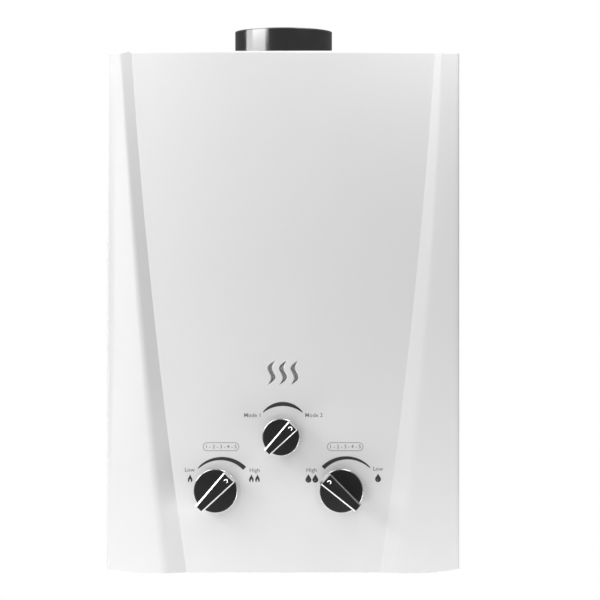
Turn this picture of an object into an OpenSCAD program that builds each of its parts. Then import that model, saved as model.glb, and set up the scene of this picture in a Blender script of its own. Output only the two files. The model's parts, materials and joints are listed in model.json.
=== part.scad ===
// Wall-hung instantaneous gas water heater, in millimetres.
// +Z is up, the wall is the plane y = 0, and the front faces -Y.
// The origin is the centre of the four wall holes, at half the casing's height.
// Inside the modules z counts from the cover's bottom edge and depth counts from the wall.

/* [Casing] */
// Width of the casing
body_w = 300; // [270:1:330]
// Height of the casing
body_h = 445; // [436:1:480]
// Depth from the wall to the flat side strips of the cover
body_d = 130; // [117:1:150]
// Sheet thickness of the front cover
cover_t = 1; // [0.7:0.1:1.3]
// Sheet thickness of the back, top and bottom plates
plate_t = 1.2; // [0.8:0.1:1.6]
// Outer bend radius of the cover's upright front edges
bend_r = 1.6; // [1.4:0.1:5]
// Outer bend radius of the cover's upper front edge
top_bend_r = 3; // [1.5:0.5:6]
// Corner radius at the top of the cover, seen from the front
corner_r = 3; // [2:0.5:8]
// Rise of the cover's bottom edge at its corners
foot_rise = 4; // [2:0.5:7]
// Length of each rising stretch of the bottom edge
foot_run = 40; // [25:1:60]
// Gap between the cover's rear edge and the wall
wall_gap = 1; // [0.5:0.5:3]
// Clearance between lapped sheets
lap_gap = 0.3; // [0.15:0.05:0.5]
// Height of the bottom plate above the bottom edge
skirt_h = 30; // [28:1:34]
// Height of the back plate's lower edge above the bottom edge
plate_lift = 8; // [5:1:15]
// Depth of the back plate's side flanges
flange_d = 18; // [12:1:24]
// Height of the rear flanges of the top and bottom plates
tab_h = 12; // [8:1:14]
// Gap between the front edge of the plates and the cover's centre panel
plate_setback = 3; // [2:0.5:6]

/* [Wall holes] */
// Distance between the wall holes across
hang_w = 180; // [160:1:200]
// Distance between the wall holes up
hang_h = 340; // [330:1:345]
// Radius of the wall holes
hang_r = 4.5; // [3.5:0.1:5.5]
// Radius of the slot above each upper hole
hang_slot_r = 2.6; // [2:0.1:3]
// Length of the slot above each upper hole
hang_slot = 9; // [6:0.5:12]

/* [Front panel] */
// Distance of the recessed centre panel from the casing's sides at the top
panel_margin_top = 20.5; // [19:0.5:30]
// Distance of the recessed centre panel from the casing's sides at the bottom
panel_margin_bottom = 67.5; // [60:0.5:80]
// Outward bow of the centre panel's edges
panel_bow = 4.4; // [2:0.1:6]
// Distance of the ridges from the casing's sides at the top
ridge_margin_top = 14; // [11:0.5:16]
// Distance of the ridges from the casing's sides at the bottom
ridge_margin_bottom = 49.5; // [40:0.5:55]
// Outward bow of the ridges
ridge_bow = 7; // [5:0.1:8]
// Width of the soft edge along the ridges at the top
soft_top = 3; // [2:0.5:4]
// Width of the soft edge along the ridges at the bottom
soft_bottom = 10; // [6:0.5:12]
// Extra width of the soft edge half way up
soft_bow = 7; // [3:0.5:8]
// Recess of the centre panel at the top
recess_top = 2.5; // [1.5:0.1:4]
// Recess of the centre panel at the bottom
recess_bottom = 6; // [4:0.1:7]
// Number of straight steps along each ridge
ridge_steps = 12; // [8:1:16]

/* [Viewing slots] */
// Number of S-shaped viewing slots
slot_count = 3; // [1:1:5]
// Distance between the slots
slot_pitch = 9.8; // [9:0.1:14]
// Height of a slot
slot_h = 20; // [14:0.5:26]
// Width of a slot's opening, measured across
slot_w = 3.6; // [2:0.1:4]
// Sideways lean of a slot's tips
slot_lean = 2.6; // [1:0.1:3]
// Sideways swing of a slot's curves
slot_swing = 2.7; // [1:0.1:3]
// Height of the slots' centre above the bottom edge
slot_z = 170.6; // [160:1:200]
// Margin of the mesh around the slots
mesh_margin = 4; // [2:0.5:8]
// Thickness of the mesh
mesh_t = 0.6; // [0.4:0.1:1]
// Radius of the holes in the mesh
mesh_hole_r = 0.7; // [0.4:0.05:0.8]
// Distance between the holes in the mesh
mesh_pitch = 1.8; // [1.8:0.1:3]

/* [Side vents] */
// Number of vent slots in each bank
vent_count = 9; // [4:1:12]
// Distance between vent slots
vent_pitch = 9; // [7:0.5:10]
// Length of a vent slot
vent_l = 52; // [30:1:70]
// Height of a vent slot
vent_h = 3; // [2:0.1:3.8]
// Height of the lowest vent slot above the bottom edge
vent_z = 64; // [55:1:90]
// Depth of the vent slots' centre from the wall
vent_d = 72; // [60:1:80]

/* [Flue] */
// Outer radius of the flue spigot
flue_r = 42.5; // [38:0.5:44]
// Wall of the flue spigot
flue_t = 0.8; // [0.6:0.1:1.5]
// Height of the spigot above the casing
flue_rise = 22.5; // [18:0.5:40]
// Height of the bead that the spigot rests on
bead_h = 2.5; // [1.5:0.1:3]
// Width of the bead
bead_w = 2.5; // [1.5:0.1:4]
// Length of the spigot below the draft hood's top
collar_dip = 8; // [4:0.5:12]
// Clearance of the cover's notch around the bead
notch_gap = 2; // [1:0.1:4]
// Sheet thickness of the draft hood and its baffle
hood_t = 1; // [0.6:0.1:1.5]
// Width of the hood's neck beside the spigot
hood_lip = 9.5; // [6:0.5:14]
// Height of the hood's neck
hood_neck = 34; // [24:1:40]
// Overlap of the hood on the chamber
hood_lap = 8; // [5:0.5:12]
// Width of the flue baffle
baffle_w = 56; // [40:1:64]
// Height of the baffle's end flanges
baffle_flange = 8; // [5:0.5:12]
// Distance of the baffle below the hood's neck
baffle_drop = 16; // [12:1:24]

/* [Heat exchanger] */
// Space between the casing's side and the combustion chamber
chamber_side = 55; // [52:1:60]
// Space between the wall and the combustion chamber
chamber_back = 16; // [16:0.5:18]
// Space between the combustion chamber and the cover's flat side strips
chamber_front = 22; // [21.5:0.5:26]
// Radius of the combustion chamber's upright corners
chamber_r = 6; // [5:0.5:9]
// Height of the combustion chamber
chamber_h = 162; // [150:1:170]
// Wall of the copper sheet
copper_t = 0.8; // [0.6:0.1:1.2]
// Number of fins
fin_count = 26; // [12:1:34]
// Thickness of a fin
fin_t = 0.5; // [0.3:0.1:0.8]
// Height of a fin
fin_h = 40; // [30:1:50]
// Distance of the fins below the chamber's upper edge
fin_drop = 4; // [2:0.5:8]
// Clearance of the fins inside the chamber
fin_gap = 0.5; // [0.3:0.1:1]
// Outer radius of the exchanger tubes
tube_r = 9; // [7:0.5:10]
// Wall of the exchanger tubes
tube_t = 0.9; // [0.7:0.1:1.4]
// Distance between the exchanger tubes
tube_pitch = 27; // [24:0.5:30]
// Length of tube past the chamber's side
tube_stub = 6; // [4:0.5:8]
// Length of the tube sockets that take the pipes
socket_l = 9; // [6:0.5:12]
// Outer radius of the water and gas pipes
pipe_r = 6; // [5:0.5:6.5]
// Wall of the pipes
pipe_t = 0.9; // [0.7:0.1:1.4]
// Bend radius of the pipes
pipe_bend = 10; // [9:0.5:11]
// Clearance between a pipe and what it enters
fit_gap = 0.1; // [0.05:0.01:0.2]
// Gap between the coil and the chamber's wall
coil_gap = 0.4; // [0.3:0.1:0.8]
// Height of the coil above the chamber's lower edge
coil_rise = 57; // [45:1:70]

/* [Burner] */
// Inset of the burner frame's sides from the chamber's
burner_inset = 5; // [2:0.5:10]
// Inset of the burner frame's front and back from the chamber's
burner_setback = 4; // [3:0.5:8]
// Height of the burner frame
burner_h = 46; // [44:1:56]
// Sheet thickness of the burner frame and the brackets
frame_t = 1; // [0.7:0.1:1.5]
// Width of the ledges that carry the burner bars
ledge_w = 6; // [4:0.5:8]
// Number of burner bars
bar_count = 8; // [5:1:9]
// Width of a burner bar's head
bar_w = 12; // [9:0.5:13]
// Height of a burner bar
bar_h = 38; // [34:0.5:40]
// Number of flame ports on a bar
port_count = 8; // [4:1:12]
// Width of a flame port
port_w = 1.2; // [0.8:0.1:2]
// Clearance at the ends of the bars
bar_gap = 0.3; // [0.2:0.1:0.5]
// Space between the burner frame and the chamber
flame_gap = 6; // [5:0.5:10]
// Height and depth of the gas manifold
manifold_s = 13; // [12:0.5:14]
// Gap between the burner frame and the manifold
manifold_gap = 3; // [2.5:0.1:3.5]
// Radius of the gas gallery in the manifold
gallery_r = 3.5; // [2.5:0.1:4]
// Height of the gas jets above the burner frame's lower edge
jet_rise = 13; // [11:0.5:14]
// Radius of a gas jet
jet_r = 3; // [2:0.1:3.2]
// Radius of a gas jet's orifice
orifice_r = 0.6; // [0.3:0.1:1]
// Space between the pipes and the burner frame
under_gap = 3.5; // [2:0.5:8]

/* [Knobs] */
// Distance of the flame knob left of the middle, as a share of the casing's width
flame_share = 0.1924; // [0.18:0.0001:0.2]
// Distance of the water knob right of the middle, as a share of the casing's width
water_share = 0.1653; // [0.155:0.0001:0.175]
// Height of the flame and water knobs above the bottom edge
knob_z = 69.7; // [68:0.1:76]
// Position of the season knob across
season_x = -1.9; // [-8:0.1:8]
// Height of the season knob above the bottom edge
season_z = 115.5; // [112:0.1:119]
// Radius of the flame and water knobs
knob_r = 18.2; // [15:0.1:20]
// Radius of the season knob
season_r = 15.4; // [13:0.1:18]
// Thickness of a knob's disc
disc_t = 4; // [3:0.1:6]
// Height of a knob's grip above its disc
grip_h = 17; // [10:0.5:20]
// Width of the grip at its pointer end, as a share of the knob's radius
grip_wide = 0.71; // [0.5:0.01:0.8]
// Width of the grip at its tail, as a share of the knob's radius
grip_narrow = 0.47; // [0.4:0.01:0.6]
// Inward slope of the grip's sides over its height
grip_draft = 1.7; // [0.8:0.1:2]
// Length of the grip past the disc at its pointer end
grip_nose = 0.8; // [0.2:0.1:1.5]
// Length of the grip past the disc at its tail
grip_tail = 1.4; // [0.2:0.1:2]
// Inward slope of the grip's pointer end over its height
nose_slope = 2; // [1:0.1:3]
// Inward slope of the grip's tail over its height
tail_slope = 0.6; // [0.2:0.1:1.5]
// Radius of the pointer dimple
dimple_r = 1.6; // [1:0.1:2]
// Depth of the pointer dimple
dimple_dp = 0.6; // [0.3:0.1:1]
// Distance of the dimple from the knob's axis, as a share of the knob's radius
dimple_share = 0.755; // [0.6:0.005:0.8]
// Gap between a knob and the panel
knob_gap = 1.5; // [0.8:0.1:3]
// Radius of a knob's hub
hub_r = 7; // [6:0.1:8]
// Clearance of the cover's hole around a knob's hub
hub_gap = 1.5; // [0.8:0.1:3]
// Length of a knob's hub behind the cover
hub_in = 3; // [1:0.5:4]
// Length of the spindle inside a knob
spindle_grip = 15; // [10:0.5:17]
// Pointer angle of the flame knob, clockwise from the top
flame_angle = 44; // [0:1:90]
// Pointer angle of the water knob, clockwise from the top
water_angle = -48; // [-90:1:0]
// Pointer angle of the season knob, clockwise from the top
season_angle = 44; // [0:1:90]

/* [Valves] */
// Depth of the valves' common axis from the wall
valve_d = 58; // [57:0.5:60]
// Radius of the spindles
shaft_r = 3; // [2.5:0.1:3.5]
// Radius of the plug on each spindle
plug_r = 7; // [6:0.1:8]
// Length of the plug on each spindle
plug_l = 15; // [12:0.5:16]
// Running clearance of shafts and rods, on the radius
run_gap = 0.05; // [0.03:0.01:0.1]
// Radius of the glands that hold the spindles
gland_r = 12; // [11:0.1:13]
// Thickness of the glands
gland_t = 2.5; // [2:0.1:3]
// Half the height of the gas valve body
gas_half_h = 20; // [18:0.5:22]
// Half the depth of the gas valve body
gas_half_d = 22; // [20:0.5:24]
// Length of the gas valve body left of the flame knob
gas_left = 20; // [19:0.5:24]
// Length of the gas valve body right of the flame knob
gas_right = 34; // [32:0.5:36]
// Length of the front boss on the valve bodies
boss_l = 6; // [4:0.5:8]
// Radius of the pipe bosses on the valve bodies
pipe_boss_r = 13; // [12:0.5:14]
// Radius of the water and gas ways
way_r = 5; // [4:0.5:5]
// Radius of the water valve's drum
drum_r = 26; // [25:0.5:27]
// Half the length of the water valve's drum
drum_half_l = 17; // [16:0.5:19]
// Thickness of the diaphragm
diaphragm_t = 2; // [1:0.1:3]
// Radius of the clamping rims around the diaphragm
rim_r = 32; // [31:0.5:34]
// Thickness of each clamping rim
rim_t = 4; // [3:0.5:5]
// Length of the diaphragm cover
cap_l = 10.5; // [10:0.5:13]
// Radius of the pressure chambers beside the diaphragm
pressure_r = 20; // [17:0.5:21]
// End wall of the diaphragm cover
cap_wall = 2.5; // [2:0.1:3]
// Thickness of the push rod's plate
push_plate_t = 2; // [1:0.1:2.2]
// Radius of the push rod's plate
push_plate_r = 17; // [13:0.5:18]
// Radius of the push rod
rod_r = 2.5; // [2:0.1:3]
// Travel of the push rod and the poppet
rod_travel = 5; // [3:0.5:5]
// Radius of the collar on the push rod
trip_r = 5.5; // [5:0.1:6]
// Width of the collar on the push rod
trip_w = 3; // [2:0.5:4]
// Radius of the poppet
poppet_r = 7.5; // [6.5:0.1:8]
// Thickness of the poppet
poppet_t = 3; // [2:0.5:4]
// Depth of the poppet's chamber
poppet_dp = 21; // [20:0.5:23]
// Clearance around the poppet
poppet_gap = 1; // [0.5:0.1:1.5]
// Radius of the poppet's stem
stem_r = 2; // [1.5:0.1:2.5]
// Length of stem left outside the poppet's gland at full travel
stem_spare = 1; // [0.5:0.5:3]
// Length of the poppet's spring
spring_l = 11; // [8:0.5:12]
// Radius of the spring's coil at the middle of its wire
spring_r = 5; // [4.5:0.1:5.6]
// Radius of the spring's wire
wire_r = 0.6; // [0.4:0.05:0.8]
// Number of turns of the spring
spring_turns = 5; // [3:1:6]
// Radius of the solenoid
coil_r = 12; // [10:0.5:14]
// Length of the solenoid
coil_l = 26; // [23:0.5:28]
// Radius of the solenoid's plunger
plunger_r = 4; // [3:0.1:5]
// Travel of the solenoid's plunger
plunger_travel = 3; // [2:0.5:4]

/* [Linkage] */
// Distance of the switch lever from the gas valve's gland
lever_off = 24; // [22:0.5:26]
// Height of the lever's pivot above the push rod
lever_rise = 20; // [18:0.5:22]
// Thickness of the switch lever
lever_t = 0.8; // [0.5:0.1:1.2]
// Sheet thickness of the linkage bracket
link_t = 1.5; // [1:0.1:2]
// Length of the linkage bracket's feet
link_foot = 9; // [6:0.5:12]
// Distance between the microswitch and the lever
switch_gap = 6; // [5:0.5:7]
// Length of the microswitch
switch_l = 15; // [12:0.5:16]
// Height of the microswitch
switch_h = 10; // [8:0.5:11]
// Height of the microswitch above the push rod
switch_rise = 9; // [7.5:0.5:10]

/* [Season valve] */
// Depth of the season valve's front ahead of the manifold's rear face
season_ahead = 8; // [7:0.5:9]
// Half the width of the season valve
season_half = 12; // [11:0.5:14]
// Depth of the season valve
season_dp = 24; // [22:0.5:28]

/* [Connections] */
// Radius of the connectors' threads (G 1/2)
thread_r = 10.48; // [8:0.01:12]
// Length of the connectors' threads
thread_l = 17; // [12:0.5:18]
// Radius across the corners of the connectors' hexagons
hex_r = 15; // [13.5:0.5:17]
// Height of the connectors' hexagons
hex_h = 8; // [6:0.5:9]
// Radius of the connectors' necks
neck_r = 9.5; // [8:0.1:10]
// Length of the connectors' necks above the bottom plate
neck_l = 10; // [8:0.5:12]
// Radius of the connectors' bores
bore_r = 6.5; // [6:0.1:7]
// Height of the pipe nuts
nut_h = 8; // [6:0.5:9]
// Radius across the corners of the pipe nuts
nut_r = 11.5; // [10:0.5:13]
// Radius of the drain plug's stem
drain_r = 5; // [4:0.1:5.5]
// Radius of the drain plug's boss
drain_boss_r = 8; // [7.5:0.1:9]
// Length of the drain plug's head
drain_l = 14; // [10:0.5:18]
// Length of the drain plug's stem above the bottom plate
drain_in = 14; // [8:0.5:18]

/* [Ignition] */
// Width of the igniter box
igniter_w = 70; // [60:1:76]
// Depth of the igniter box
igniter_dp = 25; // [20:0.5:27]
// Height of the igniter box
igniter_h = 46; // [40:1:48]
// Position of the igniter box across
igniter_x = -17; // [-22:0.5:-15]
// Height of the igniter box above the bottom plate's rear flange
igniter_lift = 3; // [1:0.5:4]
// Wall of the igniter box and the battery box
box_t = 2; // [1.5:0.1:2.5]
// Position of the left spark electrode from the igniter box's centre
spark_left = -14; // [-20:0.5:-8]
// Position of the right spark electrode from the igniter box's centre
spark_right = 15; // [10:0.5:18]
// Position of the flame sensor from the igniter box's centre
sensor_at = 28; // [25:0.5:34]
// Length of the electrodes' shelf past the outer electrodes
shelf_margin = 10; // [6:0.5:12]
// Distance of the electrodes behind the burner frame
electrode_back = 8; // [7:0.5:9]
// Radius of the electrodes' insulators
ceramic_r = 3; // [2.5:0.1:3.5]
// Length of the electrodes' insulators
ceramic_l = 22; // [18:0.5:24]
// Radius of the electrodes' pins
pin_r = 0.9; // [0.7:0.1:1.2]
// Reach of the pins over the burner
pin_reach = 16; // [10:0.5:24]
// Radius of the leads
lead_r = 1.3; // [1:0.1:1.6]

/* [Battery] */
// Radius of a battery cell
cell_r = 16.6; // [15:0.1:17]
// Length of a battery cell
cell_l = 61; // [56:0.5:62]
// Clearance around the cells
cell_gap = 0.4; // [0.3:0.1:0.6]
// Distance of the battery box's centre from the casing's side
battery_in = 29; // [26:0.5:31]
// Depth of the battery box's centre from the wall
battery_d = 52; // [50:0.5:56]
// Thickness of the frame under the bottom plate
battery_frame_t = 3; // [2:0.5:4]
// Width of the frame around the opening
battery_frame_w = 4; // [3:0.5:5]
// Thickness of the battery lid
lid_t = 2.5; // [2:0.1:3]
// Gap between the lid and its frame
lid_gap = 0.3; // [0.2:0.05:0.5]
// Clearance of the lid's pad inside the opening
pad_gap = 1; // [0.6:0.1:1.5]
// Radius of the hinge knuckle
knuckle_r = 2.5; // [2:0.1:3]
// Radius of the hinge pin
hinge_r = 1.2; // [0.8:0.1:1.4]
// Thickness of the hinge lugs
lug_t = 4; // [3:0.5:5]

/* [Fasteners] */
// Radius of the cover screws' shanks
screw_r = 1.7; // [1.4:0.1:2]
// Clearance around the screws
screw_gap = 0.15; // [0.1:0.05:0.3]
// Radius of the screw heads
head_r = 3.6; // [3:0.1:4]
// Height of the screw heads
head_h = 2; // [1.5:0.1:2.5]
// Length of the cover screws
screw_l = 8; // [6:0.5:10]
// Distance of the upper cover screws from the middle
screw_x = 110; // [90:1:125]
// Depth of the upper cover screws from the wall
screw_d = 14; // [10:0.5:18]
// Width of the cover's lower screw tabs
tab_w = 12; // [10:0.5:14]
// Length of the cover's lower screw tabs
tab_l = 16; // [12:0.5:18]

/* [Hidden] */
$fn = 48;
eps = 1;
half_w = body_w / 2;
panel_top_w = body_w - 2 * panel_margin_top;
panel_bottom_w = body_w - 2 * panel_margin_bottom;
ridge_top_w = body_w - 2 * ridge_margin_top;
ridge_bottom_w = body_w - 2 * ridge_margin_bottom;
flame_x = -flame_share * body_w;
water_x = water_share * body_w;
chamber_w = body_w - 2 * chamber_side;
chamber_dp = body_d - chamber_back - chamber_front;
flue_d = chamber_back + chamber_dp / 2;
burner_w = chamber_w - 2 * burner_inset;
burner_dp = chamber_dp - 2 * burner_setback;
plate_hw = half_w - cover_t - lap_gap;
inner_hw = plate_hw - plate_t - lap_gap;
plate_front = body_d - recess_bottom - cover_t - plate_setback;
top_z = body_h - cover_t - lap_gap;
floor_z = skirt_h + plate_t;
foot_arc = (foot_run * foot_run + foot_rise * foot_rise) / (2 * foot_rise);
tab_x = half_w - cover_t - tab_w / 2 - 1;
tab_d = plate_front - tab_l / 2 - 2;
tab_z = skirt_h - lap_gap - cover_t;

// Flue, hood, chamber and burner stack up around one vertical centre line
collar_z0 = top_z - plate_t - hood_t - collar_dip;
collar_z1 = body_h + flue_rise;
notch_r = flue_r + bead_w + notch_gap;
valve_top = knob_z + drum_r + 1;
pipe_turn_z = valve_top + nut_h + pipe_bend + 1;
burner_z = pipe_turn_z + pipe_r + under_gap;
burner_top = burner_z + burner_h;
burner_d0 = flue_d - burner_dp / 2;
burner_d1 = flue_d + burner_dp / 2;
jet_z = burner_z + jet_rise;
bar_pitch = (burner_w - 2 * frame_t) / bar_count;
manifold_d0 = burner_d1 + manifold_gap;
manifold_d1 = manifold_d0 + manifold_s;
manifold_mid = (manifold_d0 + manifold_d1) / 2;
manifold_z0 = jet_z - manifold_s / 2;
manifold_hw = burner_w / 2 - 2;
chamber_z = burner_top + flame_gap;
chamber_top = chamber_z + chamber_h;
chamber_d0 = flue_d - chamber_dp / 2;
chamber_d1 = flue_d + chamber_dp / 2;
hood_d0 = chamber_d0 - lap_gap - hood_t;
hood_d1 = chamber_d1 + lap_gap + hood_t;
hood_z3 = top_z - plate_t;
hood_z2 = hood_z3 - hood_neck;
hood_z1 = chamber_top + hood_t + 4;
hood_z0 = chamber_top - hood_lap;
hood_wide = chamber_w / 2 + lap_gap + hood_t;
hood_narrow = flue_r + hood_lip;
baffle_z = hood_z2 - baffle_drop;
fin_z0 = chamber_top - fin_drop - fin_h;
fin_margin = 4;
fin_pitch = (chamber_w - 2 * copper_t - 2 * fin_margin) / (fin_count - 1);
tube_z = fin_z0 + fin_h / 2;
tube_end = chamber_w / 2 + tube_stub;
coil_z = chamber_z + coil_rise;
coil_x = chamber_w / 2 + coil_gap + pipe_r;
coil_d0 = chamber_d0 - coil_gap - pipe_r;
coil_d1 = chamber_d1 + coil_gap + pipe_r;
rise_x = tube_end + socket_l + pipe_bend + 2;
hot_turn_z = valve_top;

// Valves
gas_x0 = flame_x - gas_left;
gas_x1 = flame_x + gas_right;
gas_front = valve_d + gas_half_d + boss_l;
drum_x0 = water_x - drum_half_l;
drum_x1 = water_x + drum_half_l;
drum_front = valve_d + drum_r + boss_l;
cap_x1 = drum_x0 - diaphragm_t;
cap_x0 = cap_x1 - cap_l;
link_x0 = gas_x1 + gland_t;
lever_x = link_x0 + lever_off;
lever_z = knob_z + lever_rise;
link_d = valve_d - trip_r - 1.5;
switch_x1 = lever_x - switch_gap;
switch_z = knob_z + switch_rise;
season_front = manifold_d0 + season_ahead;
stem_end = link_x0 + rod_travel + stem_spare;
thread_z = skirt_h - hex_h - thread_l;

// Ignition and battery
igniter_z0 = floor_z + tab_h + igniter_lift;
igniter_z1 = igniter_z0 + igniter_h;
igniter_x0 = igniter_x - igniter_w / 2;
igniter_x1 = igniter_x + igniter_w / 2;
igniter_front = plate_t + igniter_dp;
shelf_z = burner_top - 18;
electrode_at = [spark_left, spark_right, sensor_at];
electrode_d = burner_d0 - electrode_back;
ceramic_z0 = shelf_z - 8;
pin_z = burner_top + flame_gap / 2;
battery_x = half_w - battery_in;
battery_hw = cell_r + cell_gap;
battery_hd = 2 * cell_r + 2 * cell_gap;
battery_front = battery_d + battery_hd;
battery_rear = battery_d - battery_hd;
lid_z1 = skirt_h - battery_frame_t - lid_gap;
lid_z0 = lid_z1 - lid_t;
pad_top = floor_z - lid_gap;
cell_z = floor_z;
hinge_d = battery_rear - battery_frame_w - knuckle_r - 1.5;
hinge_z = (lid_z0 + lid_z1) / 2;
lid_hw = battery_hw + battery_frame_w;
// The drain plug hangs midway between the water inlet and the battery lid
drain_x = (water_x + hex_r + battery_x - lid_hw) / 2;
lead_d = battery_rear + 4;
lead_z = igniter_z0 + 12;

// Depth that the centre panel lies behind the side strips
function recess(z) = recess_bottom + (recess_top - recess_bottom) * z / body_h;

// Depth of the centre panel's outer face from the wall
function panel_d(z) = body_d - recess(z);

// Half width between two bowed edges, t running from 0 at the top to 1 at the bottom
function half_at(top, bottom, bow, t) = (top + (bottom - top) * t) / 2 + 4 * bow * t * (1 - t);

// Depth of a knob's rear end, and of the tip of the spindle in it
function hub_rear(z) = panel_d(z) - cover_t - hub_in;
function spindle_tip(z) = hub_rear(z) + spindle_grip - 0.5;

// Depth of one of the three exchanger tubes
function tube_d(i) = flue_d + (i - 1) * tube_pitch;

// Position of a burner bar across
function bar_x(i) = (i - (bar_count - 1) / 2) * bar_pitch;

function unit(v) = v / norm(v);

// A box between two places across, in depth and in height
module box(x0, x1, d0, d1, z0, z1) {
    translate([x0, -d1, z0]) cube([x1 - x0, d1 - d0, z1 - z0]);
}

// Round bars along X, along the depth and along Z
module rod_x(x0, x1, d, z, r) {
    translate([x0, -d, z]) rotate([0, 90, 0]) cylinder(h = x1 - x0, r = r);
}

module rod_d(x, d0, d1, z, r) {
    translate([x, -d0, z]) rotate([90, 0, 0]) cylinder(h = d1 - d0, r = r);
}

module rod_z(x, d, z0, z1, r) {
    translate([x, -d, z0]) cylinder(h = z1 - z0, r = r);
}

module hex_z(x, d, z0, z1, r) {
    translate([x, -d, z0]) cylinder(h = z1 - z0, r = r, $fn = 6);
}

// A straight round bar between two points
module run(a, b, r) {
    v = b - a;
    len_v = norm(v);
    translate(a) rotate([0, acos(v.z / len_v), atan2(v.y, v.x)]) cylinder(h = len_v, r = r);
}

// A quarter bend around the corner p, between the directions u and v
module elbow(p, u, v, r, bend) {
    w = cross(u, v);
    c = p - u * bend + v * bend;
    multmatrix([
        [-v.x, u.x, w.x, c.x],
        [-v.y, u.y, w.y, c.y],
        [-v.z, u.z, w.z, c.z],
        [0, 0, 0, 1]
    ]) rotate_extrude(angle = 90) translate([bend, 0]) circle(r);
}

// A round bar along square-cornered points, with its ends lengthened by over
module route(pts, r, bend, over = 0) {
    last = len(pts) - 1;
    for (i = [0:last - 1]) {
        u = unit(pts[i + 1] - pts[i]);
        a = pts[i] + u * (i == 0 ? -over : bend);
        b = pts[i + 1] - u * (i == last - 1 ? -over : bend);
        if (norm(b - a) > 0.01) run(a, b, r);
    }
    for (i = [1:last - 1])
        elbow(pts[i], unit(pts[i] - pts[i - 1]), unit(pts[i + 1] - pts[i]), r, bend);
}

module pipe(pts, r, t, bend) {
    difference() {
        route(pts, r, bend);
        route(pts, r - t, bend, eps);
    }
}

module screw(l) {
    cylinder(h = l, r = screw_r);
    translate([0, 0, -head_h]) rotate_extrude()
        polygon([[0, 0], [head_r * 0.7, 0], [head_r, head_h * 0.5], [head_r, head_h], [0, head_h]]);
}

// Casing

// Plan of the cover with its two rounded front edges
module cover_plan(inset, rear) {
    hw = half_w - inset;
    d = body_d - inset;
    r = bend_r - inset;
    translate([-hw, -(d - r)]) square([2 * hw, d - r - rear]);
    translate([-(hw - r), -d]) square([2 * (hw - r), d - rear]);
    for (s = [-1, 1]) translate([s * (hw - r), -(d - r)]) circle(r);
}

// Side outline of the cover with its rounded upper front edge
module cover_side(inset, rear, low) {
    d = body_d - inset;
    h = body_h - inset;
    r = top_bend_r - inset;
    translate([-d, low]) square([d - rear, h - r - low]);
    translate([-(d - r), low]) square([d - r - rear, h - low]);
    translate([-(d - r), h - r]) circle(r);
}

// Front outline of the cover, with small upper corners
module cover_front(inset, low) {
    hw = half_w - inset;
    h = body_h - inset;
    r = corner_r - inset;
    translate([-hw, low]) square([2 * hw, h - r - low]);
    translate([-(hw - r), low]) square([2 * (hw - r), h - low]);
    for (s = [-1, 1]) translate([s * (hw - r), h - r]) circle(r);
}

// The corner pieces that the bottom edge's arcs leave out
module foot_corner() {
    difference() {
        translate([half_w - foot_run, -eps]) square([foot_run + eps, foot_rise + eps]);
        translate([half_w - foot_run, foot_arc - 0.05]) circle(foot_arc, $fn = 200);
    }
}

module cover_block(inset, rear, low) {
    intersection() {
        translate([0, 0, low - eps]) linear_extrude(body_h - low + 2 * eps) cover_plan(inset, rear);
        translate([-half_w - eps, 0, 0]) rotate([90, 0, 90]) linear_extrude(body_w + 2 * eps)
            cover_side(inset, rear, low);
        translate([0, -rear, 0]) rotate([90, 0, 0]) linear_extrude(body_d) cover_front(inset, low);
    }
}

// The shallow recess of the centre panel, as a solid that stands proud of the front.
// Each row runs across: over the soft ridge, down the bevel, along the panel and back up.
module panel_recess() {
    reach = 0.02;
    lead = 2 * cover_t + 1;
    proud = 0.05;
    soft_steps = 4;
    n = 2 * (soft_steps + 3);
    rows = [for (i = [0:ridge_steps])
        let (t = -reach + (1 + 2 * reach) * i / ridge_steps, z = body_h * (1 - t))
        let (ridge = half_at(ridge_top_w, ridge_bottom_w, ridge_bow, t))
        let (base = half_at(panel_top_w, panel_bottom_w, panel_bow, t))
        let (soft = half_at(2 * soft_top, 2 * soft_bottom, soft_bow, t))
        let (slope = recess(z) / (ridge - base), start = ridge + soft / 2)
        let (side = concat(
            [[start, -lead], [start, -proud]],
            [for (k = [1:soft_steps]) let (u = k / soft_steps)
                [start - soft * u, slope * soft * u * u / 2]],
            [[base, recess(z)]]
        ))
        concat(
            [for (p = side) [-p.x, p.y - body_d, z]],
            [for (k = [len(side) - 1:-1:0]) [side[k].x, side[k].y - body_d, z]]
        )];
    pts = [for (row = rows) for (p = row) p];
    walls = [for (i = [0:ridge_steps - 1]) for (j = [0:n - 1])
        let (a = n * i + j, b = n * i + (j + 1) % n, c = b + n, d = a + n)
        for (f = [[c, b, a], [d, c, a]]) f];
    top = [for (k = [0:n / 2 - 2]) for (f = [[n - 2 - k, n - 1 - k, k], [k + 1, n - 2 - k, k]])
        if (f[0] != f[1] && f[0] != f[2] && f[1] != f[2]) f];
    low = n * ridge_steps;
    bottom = [for (f = top) [low + f[2], low + f[1], low + f[0]]];
    polyhedron(pts, concat(walls, top, bottom));
}

// One S-shaped viewing slot around the origin, seen from the front
module slot_shape() {
    n = 14;
    mid = [for (i = [0:n]) let (s = i / n)
        [slot_lean * (1 - 2 * s) - slot_swing * sin(360 * s), slot_h * (0.5 - s)]];
    half = [for (i = [0:n]) slot_w / 2 * (1 - pow(abs(2 * i / n - 1), 4))];
    polygon(concat(
        [for (i = [0:n]) mid[i] - [half[i], 0]],
        [for (i = [n - 1:-1:1]) mid[i] + [half[i], 0]]
    ));
}

module knob_hole(x, z) {
    rod_d(x, body_d - 4 * recess_bottom, body_d + eps, z, hub_r + hub_gap);
}

// Places of the cover's four screws: the upper pair, then the lower pair
module at_upper_screws() {
    for (s = [-1, 1]) translate([s * screw_x, -screw_d, body_h]) children();
}

module at_lower_screws() {
    for (s = [-1, 1]) translate([s * tab_x, -tab_d, tab_z]) children();
}

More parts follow.
